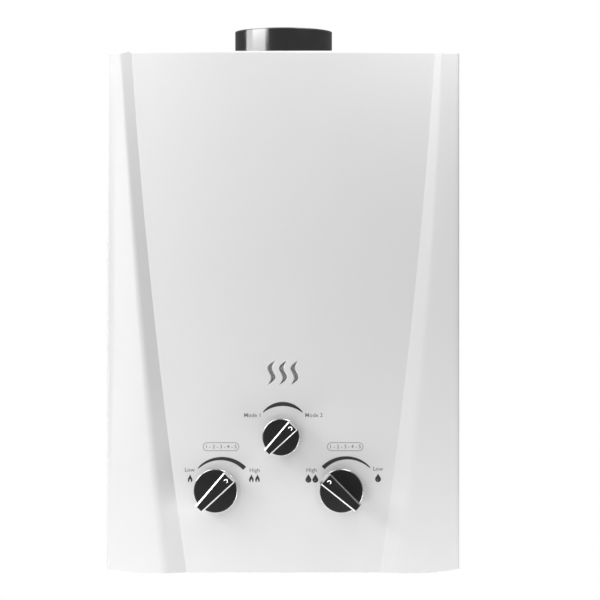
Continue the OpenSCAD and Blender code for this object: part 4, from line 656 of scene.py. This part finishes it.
def make_grip(knob, height):
    """The silver-sided grip and the black top let into it; returns the top."""
    bezel_z = height - BEZEL_LOW
    floor_z = height - INLAY_T

    def top_ring(z, inset):
        return grip_ring(knob, GRIP_TOP, TOP_ENDS, knob.top_x, z, inset)

    sides = [
        grip_ring(knob, GRIP_FOOT, FOOT_ENDS, knob.foot_x, DISC_T - FOOT_SUNK),
        grip_ring(knob, GRIP_FOOT, DISC_ENDS, knob.foot_x, DISC_T + FOOT_RISE),
        grip_ring(knob, GRIP_EDGE, EDGE_ENDS, knob.edge_x, bezel_z - BEZEL_H),
        top_ring(bezel_z, 0.0),
        top_ring(bezel_z, INLAY_INSET),
        top_ring(floor_z, INLAY_INSET),
    ]
    knob.add("grip", loft(sides), SILVER)
    top = [
        top_ring(floor_z, INLAY_INSET),
        top_ring(height - INLAY_ROUND, INLAY_INSET),
        top_ring(height, INLAY_INSET + INLAY_ROUND),
    ]
    return knob.add("grip_top", loft(top), KNOB_BLACK)


def cut_dimple(obj, center, radius):
    """Sinks a shallow round dimple into a piece."""
    ball = bpy.data.meshes.new("ball")
    work = bmesh.new()
    bmesh.ops.create_uvsphere(work, u_segments=BALL_STEPS[0], v_segments=BALL_STEPS[1], radius=radius)
    bmesh.ops.translate(work, verts=work.verts, vec=center)
    work.to_mesh(ball)
    work.free()
    cutter = bpy.data.objects.new("ball", ball)
    bpy.context.scene.collection.objects.link(cutter)
    cut = obj.modifiers.new("dimple", "BOOLEAN")
    cut.operation = "DIFFERENCE"
    cut.solver = "EXACT"
    cut.object = cutter
    bpy.context.view_layer.update()
    done = bpy.data.meshes.new_from_object(obj.evaluated_get(bpy.context.evaluated_depsgraph_get()))
    obj.modifiers.clear()
    obj.data = done
    done.shade_smooth()
    done.set_sharp_from_angle(angle=BOWL_ANGLE)
    bpy.data.objects.remove(cutter)


def make_dimple(knob, inlay, height):
    """The pointer dimple in the grip's black top, and the silver crescent on its bowl, a painted highlight
    of its lit side.
    """
    ball = (DIMPLE_R ** 2 + DIMPLE_DP ** 2) / (2 * DIMPLE_DP)
    away = DIMPLE_AWAY * knob.r
    lift = height + ball - DIMPLE_DP
    cut_dimple(inlay, knob.at(knob.top_x, away, lift), ball * MM)

    def on_bowl(share, above):
        reach = DIMPLE_R * share
        return reach, lift - math.sqrt((ball - above) ** 2 - reach ** 2)

    def at(x, y, z):
        return knob.at(x + knob.top_x, y + away, z)

    section = [on_bowl(share, PAINTED_HIGHLIGHT_LIFT) for share in PAINTED_HIGHLIGHT_SHARES]
    section += [on_bowl(share, -PAINTED_HIGHLIGHT_SUNK) for share in PAINTED_HIGHLIGHT_SHARES[::-1]]
    # The crescent's silver is a painted highlight: it covers only the side of the bowl where light falls
    # and leaves the shaded side open.
    start = math.radians(PAINTED_HIGHLIGHT_FROM) + knob.turn
    painted_highlight = lathe(section, PAINTED_HIGHLIGHT_STEPS, at, start, math.radians(PAINTED_HIGHLIGHT_SWEEP))
    knob.add("dimple", painted_highlight, SILVER)


def make_knob(knob, height):
    """A black disc with a bright rim, a silver-sided grip with a black top, and a pointer dimple with a
    painted highlight.
    """
    disc = make_disc(knob)
    inlay = make_grip(knob, height)
    make_dimple(knob, inlay, height)
    return disc


# Printed marks on the centre panel, in millimetres across from the middle and above the bottom edge

PRINT_LIFT = 0.04

# Each arc's centre, radius, least width and gain in width, and how the gain runs from left to right
ARCS = {
    "flame_arc": ((-52.8, 69.6), 27.7, 0.3, 3.3, lambda share: share ** 0.42),
    "water_arc": ((54.2, 70.0), 27.9, 0.5, 3.1, lambda share: (1 - share) ** 0.5),
    "season_arc": ((-0.3, 120.4), 23.5, 0.6, 2.9, lambda share: 1 - abs(2 * share - 1) ** 2),
}
ARC_SPREAD = 46
ARC_STEPS = 48

# Number scales in an outline with round ends, then the words beside the knobs
PILLS = {"flame_pill": (-53.0, 107.4), "water_pill": (53.0, 107.4)}
PILL_SIZE = (31.0, 7.5)
PILL_LINE = 0.6
PILL_STEPS = 14
SCALE_TEXT = "1 - 2 - 3 - 4 - 5"
SCALE_SIZE = 4.5
WORDS = {
    "flame_low": ("Low", -79.8, 87.6),
    "flame_high": ("High", -24.3, 87.2),
    "water_high": ("High", 24.2, 87.4),
    "water_low": ("Low", 80.9, 88.4),
    "season_one": ("Mode 1", -26.0, 134.2),
    "season_two": ("Mode 2", 26.2, 134.2),
}
WORD_SIZE = 4.9
LETTER_WEIGHT = 0.006
LETTER_STEPS = 3

# Flames and drops: places and sizes, then their outlines as shares of the half size or of the whole size
FLAMES = [(-79.4, 80.4), (-27.1, 80.4), (-21.9, 80.4)]
FLAME_SIZE = (3.9, 6.9)
FLAME_OUTER = [
    (0.0, 1.0), (0.28, 0.62), (0.6, 0.28), (0.87, -0.05), (1.0, -0.32), (0.95, -0.62), (0.76, -0.88),
]
FLAME_INNER = [
    (0.0, -0.16), (0.12, -0.24), (0.24, -0.38), (0.34, -0.54), (0.38, -0.7), (0.36, -0.82), (0.3, -0.92),
]
DROPS = [(21.6, 80.3), (27.5, 80.3), (81.0, 80.8)]
DROP_SIZE = (5.0, 7.2)
DROP_STEPS = 24
DROP_SHINE = [(-0.2, -0.2), (-0.08, -0.34), (-0.02, -0.3), (-0.13, -0.17)]


def print_shape(name, points, faces, mat, layers=1):
    """A flat printed mark, lifted off the panel by the thickness of its layers of ink."""
    return piece(name, [on_panel(x, y, layers * PRINT_LIFT) for x, y in points], faces, mat, smooth=False)


def strip(outer, inner):
    """Points and faces of a band between two open lines of the same length."""
    n = len(outer)
    faces = [(k, k + 1, n + k + 1, n + k) for k in range(n - 1)]
    return outer + inner, faces


def flat_fan(points):
    """One filled shape from its outline."""
    return points, [tuple(range(len(points)))]


def level_arc(name, center, r, thin, gain, swell):
    """A printed arc above a knob whose width follows swell(share), share running left to right."""
    x, up = center
    outer, inner = [], []
    for k in range(ARC_STEPS + 1):
        share = k / ARC_STEPS
        a = math.radians(90 + ARC_SPREAD - 2 * ARC_SPREAD * share)
        half = (thin + gain * swell(share)) / 2
        outer.append((x + (r + half) * math.cos(a), up + (r + half) * math.sin(a)))
        inner.append((x + (r - half) * math.cos(a), up + (r - half) * math.sin(a)))
    print_shape(name, *strip(outer, inner), INK)


def pill(name, x, up):
    """A thin outline with round ends."""
    w, h = PILL_SIZE

    def outline(inset):
        r = h / 2 - inset
        half = w / 2 - h / 2
        right = arc_points(r, -math.pi / 2, math.pi / 2, PILL_STEPS)
        left = arc_points(r, math.pi / 2, 1.5 * math.pi, PILL_STEPS)
        ring = [(x + half + px, up + py) for px, py in right]
        ring += [(x - half + px, up + py) for px, py in left]
        return ring + ring[:1]

    print_shape(name, *strip(outline(0), outline(PILL_LINE)), INK_PALE)


def flame_icon(name, x, up):
    """A small flame: a pointed outline with a pale tongue left open at its foot."""
    w, h = FLAME_SIZE

    def trace(half):
        right = [(x + px * w / 2, up + py * h / 2) for px, py in half]
        left = [(x - px * w / 2, up + py * h / 2) for px, py in half[:0:-1]]
        return left + right

    print_shape(name, *strip(trace(FLAME_OUTER), trace(FLAME_INNER)), INK)


def drop_icon(name, x, up):
    """A drop with a round foot that narrows to a point, and a pale shine on it."""
    w, h = DROP_SIZE
    r = w / 2
    foot = up - h / 2 + r
    top = up + h / 2
    side = math.acos(r / (top - foot))
    round_part = arc_points(r, math.pi / 2 - side, -1.5 * math.pi + side, DROP_STEPS)
    outline = [(x, top)] + [(x + px, foot + py) for px, py in round_part]
    print_shape(name, *flat_fan(outline), INK)
    shine = [(x + px * w, up + py * h) for px, py in DROP_SHINE]
    print_shape(name + "_shine", *flat_fan(shine), INK_PALE, layers=2)


def label(name, text, x, up, size):
    """Plain generic lettering, flat on the panel."""
    curve = bpy.data.curves.new(name, "FONT")
    curve.body = text
    curve.size = size * MM
    curve.align_x = "CENTER"
    curve.align_y = "CENTER"
    curve.resolution_u = LETTER_STEPS
    curve.offset = LETTER_WEIGHT * size * MM
    flat = bpy.data.objects.new(name + "_text", curve)
    bpy.context.scene.collection.objects.link(flat)
    bpy.context.view_layer.update()
    evaluated = flat.evaluated_get(bpy.context.evaluated_depsgraph_get())
    shape = evaluated.to_mesh()
    points = [(v.co.x / MM + x, v.co.y / MM + up) for v in shape.vertices]
    faces = [tuple(p.vertices) for p in shape.polygons]
    evaluated.to_mesh_clear()
    bpy.data.objects.remove(flat)
    print_shape(name, points, faces, INK_GREY)


def make_prints():
    """All the arcs, scales, words and icons round the knobs."""
    for name, arc in ARCS.items():
        level_arc(name, *arc)
    for name, (x, up) in PILLS.items():
        pill(name, x, up)
        label(name + "_marks", SCALE_TEXT, x, up, SCALE_SIZE)
    for name, (text, x, up) in WORDS.items():
        label(name, text, x, up, WORD_SIZE)
    for k, (x, up) in enumerate(FLAMES):
        flame_icon(f"flame_icon_{k}", x, up)
    for k, (x, up) in enumerate(DROPS):
        drop_icon(f"drop_icon_{k}", x, up)


# Threaded connectors

# Sizes in millimetres, as in the part's source; the hot outlet's upper bore is the one that fits its pipe
THREAD_R = 10.48
HEX_R = 15.0
HEX_H = 8.0
NECK_R = 9.5
BORE_R = 6.5
PIPE_BORE_R = 6.1
PIPE_BORE_L = 14.0

# The cut of the thread: depth, pitch, rows of points in a turn, and its flanks, crests and tapered start
THREAD_DEPTH = 1.16
THREAD_PITCH = 1.814
THREAD_ROWS = 8
FLANK_GAIN = 1.2
CREST_SHARE = 0.1
START_TAPER = 0.5

# Chamfer of the hexagon, and how far its end faces reach past its flats
HEX_CHAMFER = 0.8
HEX_PAST = 0.2
HEX_FLAT = HEX_R * math.cos(math.pi / 6)

# Bore of each connector at its upper end
CONNECTORS = {"gas_inlet": BORE_R, "water_inlet": BORE_R, "hot_outlet": PIPE_BORE_R}
CONNECTOR_STEPS = 48


def thread_radius(a, turns):
    """Radius of the thread at an angle, so many turns above its lower end."""
    phase = (turns + a / (2 * math.pi)) % 1.0
    cut = clamp(FLANK_GAIN * abs(2 * phase - 1) - CREST_SHARE)
    return THREAD_R - THREAD_DEPTH * cut - START_TAPER * (1 - min(1.0, turns))


def hex_radius(a):
    return HEX_FLAT / math.cos(a % (math.pi / 3) - math.pi / 6)


def hex_end_radius(a):
    return min(hex_radius(a), HEX_FLAT + HEX_PAST)


def make_connector(node, bore_top):
    """A brass connector with a cut pipe thread, a chamfered hexagon and a neck."""
    low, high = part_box(node)
    cx = (low.x + high.x) / 2
    cy = (low.y + high.y) / 2
    thread_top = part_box("bottom_plate")[0].z - HEX_H * MM
    hex_top = thread_top + HEX_H * MM
    pitch = THREAD_PITCH * MM
    rows = int((thread_top - low.z) / pitch * THREAD_ROWS)
    verts = []

    def ring(radius_at, z):
        for k in range(CONNECTOR_STEPS):
            a = 2 * math.pi * k / CONNECTOR_STEPS
            r = radius_at(a) * MM
            verts.append(Vector((cx + r * math.cos(a), cy + r * math.sin(a), z)))

    def circle(r, z):
        ring(lambda a: r, z)

    circle(BORE_R, low.z)
    for i in range(rows + 1):
        z = low.z + (thread_top - low.z) * i / rows
        ring(lambda a: thread_radius(a, (z - low.z) / pitch), z)
    circle(THREAD_R - THREAD_DEPTH, thread_top)
    ring(hex_end_radius, thread_top)
    ring(hex_radius, thread_top + HEX_CHAMFER * MM)
    ring(hex_radius, hex_top - HEX_CHAMFER * MM)
    ring(hex_end_radius, hex_top)
    circle(NECK_R, hex_top)
    circle(NECK_R, high.z)
    circle(bore_top, high.z)
    if bore_top != BORE_R:
        seat = high.z - PIPE_BORE_L * MM
        circle(bore_top, seat)
        circle(BORE_R, seat)
    faces = []
    for here in range(0, len(verts), CONNECTOR_STEPS):
        faces += band_faces(here, (here + CONNECTOR_STEPS) % len(verts), CONNECTOR_STEPS)
    obj = piece(node + "_fitting", verts, faces, BRASS, slot="brass")
    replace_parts(obj, node)


# Flue collar

# The collar's radius in millimetres, as in the part's source, and the bead's own radius and reach past it
FLUE_R = 42.5
BEAD_R = 0.5
BEAD_PAST = 0.15
BEAD_STEPS = 12
COLLAR_STEPS = 128


def make_collar_lip():
    """A thin rolled bead round the upper end of the flue collar."""
    low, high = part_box("flue_collar")
    cx = (low.x + high.x) / 2
    cy = (low.y + high.y) / 2
    middle_r = FLUE_R + BEAD_PAST - BEAD_R
    bead = [(middle_r + BEAD_R * math.cos(a), BEAD_R * math.sin(a) - BEAD_R)
            for a in (2 * math.pi * k / BEAD_STEPS for k in range(BEAD_STEPS))]

    def at(x, y, z):
        return Vector((cx + x * MM, cy + y * MM, high.z + z * MM))

    piece("collar_lip", *lathe(bead, COLLAR_STEPS, at), BLACK_ENAMEL, slot="black_enamel")


# Cover screws

# Sizes in millimetres, as in the part's source
SCREW_R = 1.7
SCREW_L = 8.0
SCREW_X = 110.0
HEAD_R = 3.6
HEAD_H = 2.0

# The tapered tip, the fall of the head's dome towards its edge, and the cross recess
TIP_R = 0.5
TIP_L = 1.5
HEAD_FALL = 0.45
CROSS_HALF = 0.5
CROSS_ARM = 2.1
CROSS_DP = 1.1
SHANK_STEPS = 24
HEAD_STEPS = 48
HEAD_RINGS = 12


def screw_shape(place, way):
    """One domed screw whose head sits at place; way is 1 where it points up and -1 where it points down."""
    def at(x, y, z):
        return Vector((place[0] + x * MM, place[1] + way * y * MM, place[2] + way * z * MM))

    shank = [(SCREW_R, 0.0), (SCREW_R, SCREW_L - TIP_L), (TIP_R, SCREW_L), (AXIS_R, SCREW_L), (AXIS_R, 0.0)]
    verts, faces = lathe(shank, SHANK_STEPS, at)
    first = len(verts)
    angles = [2 * math.pi * k / HEAD_STEPS for k in range(HEAD_STEPS)]
    # The head is a grid in polar steps whose top sinks inside the cross
    for i in range(HEAD_RINGS + 1):
        r = HEAD_R * i / HEAD_RINGS
        dome = -HEAD_H * (1 - HEAD_FALL * (r / HEAD_R) ** 2)
        for a in angles:
            x, y = r * math.cos(a), r * math.sin(a)
            near, far = sorted((abs(x), abs(y)))
            in_cross = near < CROSS_HALF and far < CROSS_ARM
            verts.append(at(x, y, dome + (CROSS_DP if in_cross else 0.0)))
    verts += [at(HEAD_R * math.cos(a), HEAD_R * math.sin(a), 0.0) for a in angles]
    for i in range(HEAD_RINGS + 1):
        here = first + i * HEAD_STEPS
        faces += band_faces(here, here + HEAD_STEPS, HEAD_STEPS)
    return verts, faces


def make_screws():
    """Four cover screws: two point down into the top, two point up from below."""
    low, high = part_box("cover_screws")
    under_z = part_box("bottom_plate")[0].z - (LAP_GAP + COVER_T) * MM
    upper = (SCREW_X * MM, high.y - HEAD_R * MM, COVER_HIGH.z)
    lower = (high.x - HEAD_R * MM, low.y + HEAD_R * MM, under_z)
    verts, faces = [], []
    for (x, y, z), way in ((upper, -1), (lower, 1)):
        for side in (-1, 1):
            points, joins = screw_shape((side * x, y, z), way)
            faces += [tuple(i + len(verts) for i in face) for face in joins]
            verts += points
    obj = piece("screws", verts, faces, STEEL, slot="steel")
    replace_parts(obj, "cover_screws")


# Stage, light and camera, in metres

FLOOR_DROP = 0.25
FLOOR_HALF = 1.5
FLOOR_COLOR = (0.86, 0.86, 0.86)
FLOOR_ROUGH = 0.9
FLOOR_KEEP = 0.35
AMBIENT = 0.14
CAMERA_AHEAD = 2.1
CAMERA_X = 0.0144
CAMERA_UP = 0.2326
CAMERA_FAR = 50.0

# The photo's focal length and width in pixels, and the sensor's width in millimetres
FOCAL_PX = 2467
IMAGE_PX = 600
SENSOR = 36.0

# Each lamp's place, the point it aims at, its size and its radiance
LAMPS = {
    "left_high": ((-0.9, -0.5, 0.45), (0.0, -0.5, 0.4), (1.1, 0.45), 3.0),
    "mid_left": ((-0.45, -0.5, 0.0), (-0.2, -0.13, 0.0), (0.3, 0.4), 2.5),
    "low_left": ((-0.4, -0.35, -0.45), (-0.4, -0.23, -0.15), (0.4, 0.3), 1.95),
    "low_near": ((0.0, -0.3, -0.42), (0.0, -0.15, -0.2), (0.9, 0.2), 1.6),
    "right_low": ((0.45, -0.3, -0.3), (0.2, -0.13, -0.15), (0.25, 0.25), 2.6),
    "close_left": ((-0.3, -0.26, 0.36), (-0.15, -0.13, 0.2), (0.3, 0.2), 3.0),
    "close_right": ((0.2, -0.24, 0.38), (0.15, -0.13, 0.2), (0.2, 0.15), 4.5),
    "top_far": ((0.0, -1.2, 1.2), (0.0, -0.13, 0.1), (1.2, 0.6), 1.5),
    "overhead": ((0.0, 0.05, 0.9), (0.0, 0.0, 0.2), (0.9, 0.5), 1.9),
}


def larger(tree, first, second):
    node = tree.nodes.new("ShaderNodeMath")
    node.operation = "MAXIMUM"
    tree.links.new(first, node.inputs[0])
    tree.links.new(second, node.inputs[1])
    return node.outputs[0]


def blend(tree, share, first, second):
    node = tree.nodes.new("ShaderNodeMixShader")
    tree.links.new(share, node.inputs["Fac"])
    tree.links.new(first, node.inputs[1])
    tree.links.new(second, node.inputs[2])
    return node.outputs["Shader"]


def white_floor(tree, lit):
    """Shows the floor nearly white to the camera, to reflections and through clear pieces, where only the
    share FLOOR_KEEP of its lit surface is left."""
    path = tree.nodes.new("ShaderNodeLightPath").outputs
    seen = larger(tree, path["Is Camera Ray"], path["Is Glossy Ray"])
    seen = larger(tree, seen, path["Is Transmission Ray"])
    share = tree.nodes.new("ShaderNodeMath")
    share.operation = "MULTIPLY"
    share.inputs[1].default_value = 1.0 - FLOOR_KEEP
    tree.links.new(seen, share.inputs[0])
    white = tree.nodes.new("ShaderNodeEmission")
    white.inputs["Strength"].default_value = 1.0
    return blend(tree, share.outputs[0], lit, white.outputs["Emission"])


def make_stage():
    """A pale floor below the heater."""
    mesh = bpy.data.meshes.new("floor")
    z = BOTTOM_Z - FLOOR_DROP
    corners = [(-1, -1), (1, -1), (1, 1), (-1, 1)]
    mesh.from_pydata([(FLOOR_HALF * x, FLOOR_HALF * y, z) for x, y in corners], [], [(0, 1, 2, 3)])
    floor = bpy.data.objects.new("floor", mesh)
    bpy.context.scene.collection.objects.link(floor)
    mat, tree, shader = new_material("pale_floor", FLOOR_COLOR, FLOOR_ROUGH)
    surface_in = tree.nodes["Material Output"].inputs["Surface"]
    tree.links.new(white_floor(tree, shader.outputs["BSDF"]), surface_in)
    mesh.materials.append(mat)
    floor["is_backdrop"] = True


def make_world():
    """A dim surround that is plain white to the camera and through clear pieces."""
    world = bpy.data.worlds.new("studio")
    bpy.context.scene.world = world
    world.use_nodes = True
    tree = world.node_tree
    ambient = tree.nodes["Background"]
    ambient.inputs["Color"].default_value = (1, 1, 1, 1)
    ambient.inputs["Strength"].default_value = AMBIENT
    white = tree.nodes.new("ShaderNodeBackground")
    white.inputs["Color"].default_value = (1, 1, 1, 1)
    white.inputs["Strength"].default_value = 1.0
    path = tree.nodes.new("ShaderNodeLightPath").outputs
    seen = larger(tree, path["Is Camera Ray"], path["Is Transmission Ray"])
    mixed = blend(tree, seen, ambient.outputs[0], white.outputs[0])
    tree.links.new(mixed, tree.nodes["World Output"].inputs["Surface"])


def area_lamp(name, place, aim, size, radiance):
    """A rectangular lamp of even brightness, given as its surface radiance."""
    data = bpy.data.lights.new(name, "AREA")
    data.shape = "RECTANGLE"
    data.size, data.size_y = size
    data.energy = radiance * math.pi * size[0] * size[1]
    lamp = bpy.data.objects.new(name, data)
    lamp.location = place
    lamp.rotation_euler = (Vector(aim) - Vector(place)).to_track_quat("-Z", "Y").to_euler()
    bpy.context.scene.collection.objects.link(lamp)


def make_camera():
    """The photo's camera, level and facing the front."""
    data = bpy.data.cameras.new("camera")
    data.sensor_fit = "HORIZONTAL"
    data.sensor_width = SENSOR
    data.lens = FOCAL_PX / IMAGE_PX * SENSOR
    data.clip_end = CAMERA_FAR
    camera = bpy.data.objects.new("camera", data)
    camera.location = (CAMERA_X, FRONT_Y - CAMERA_AHEAD, BOTTOM_Z + CAMERA_UP)
    camera.rotation_euler = (math.pi / 2, 0, 0)
    bpy.context.scene.collection.objects.link(camera)
    bpy.context.scene.camera = camera


make_camera()
dress_cad_nodes()
make_cover()
for one in KNOBS:
    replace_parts(make_knob(one, KNOB_HEIGHT), one.name)
make_prints()
for node_name, upper_bore in CONNECTORS.items():
    make_connector(node_name, upper_bore)
make_collar_lip()
make_screws()
make_stage()
make_world()
for lamp_name, lamp_values in LAMPS.items():
    area_lamp(lamp_name, *lamp_values)
bpy.context.scene.view_settings.view_transform = "Standard"

boxes = {"cad": CAD_BOX, "visual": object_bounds()}
{k: [list(map(float, corner)) for corner in v] for k, v in boxes.items()}
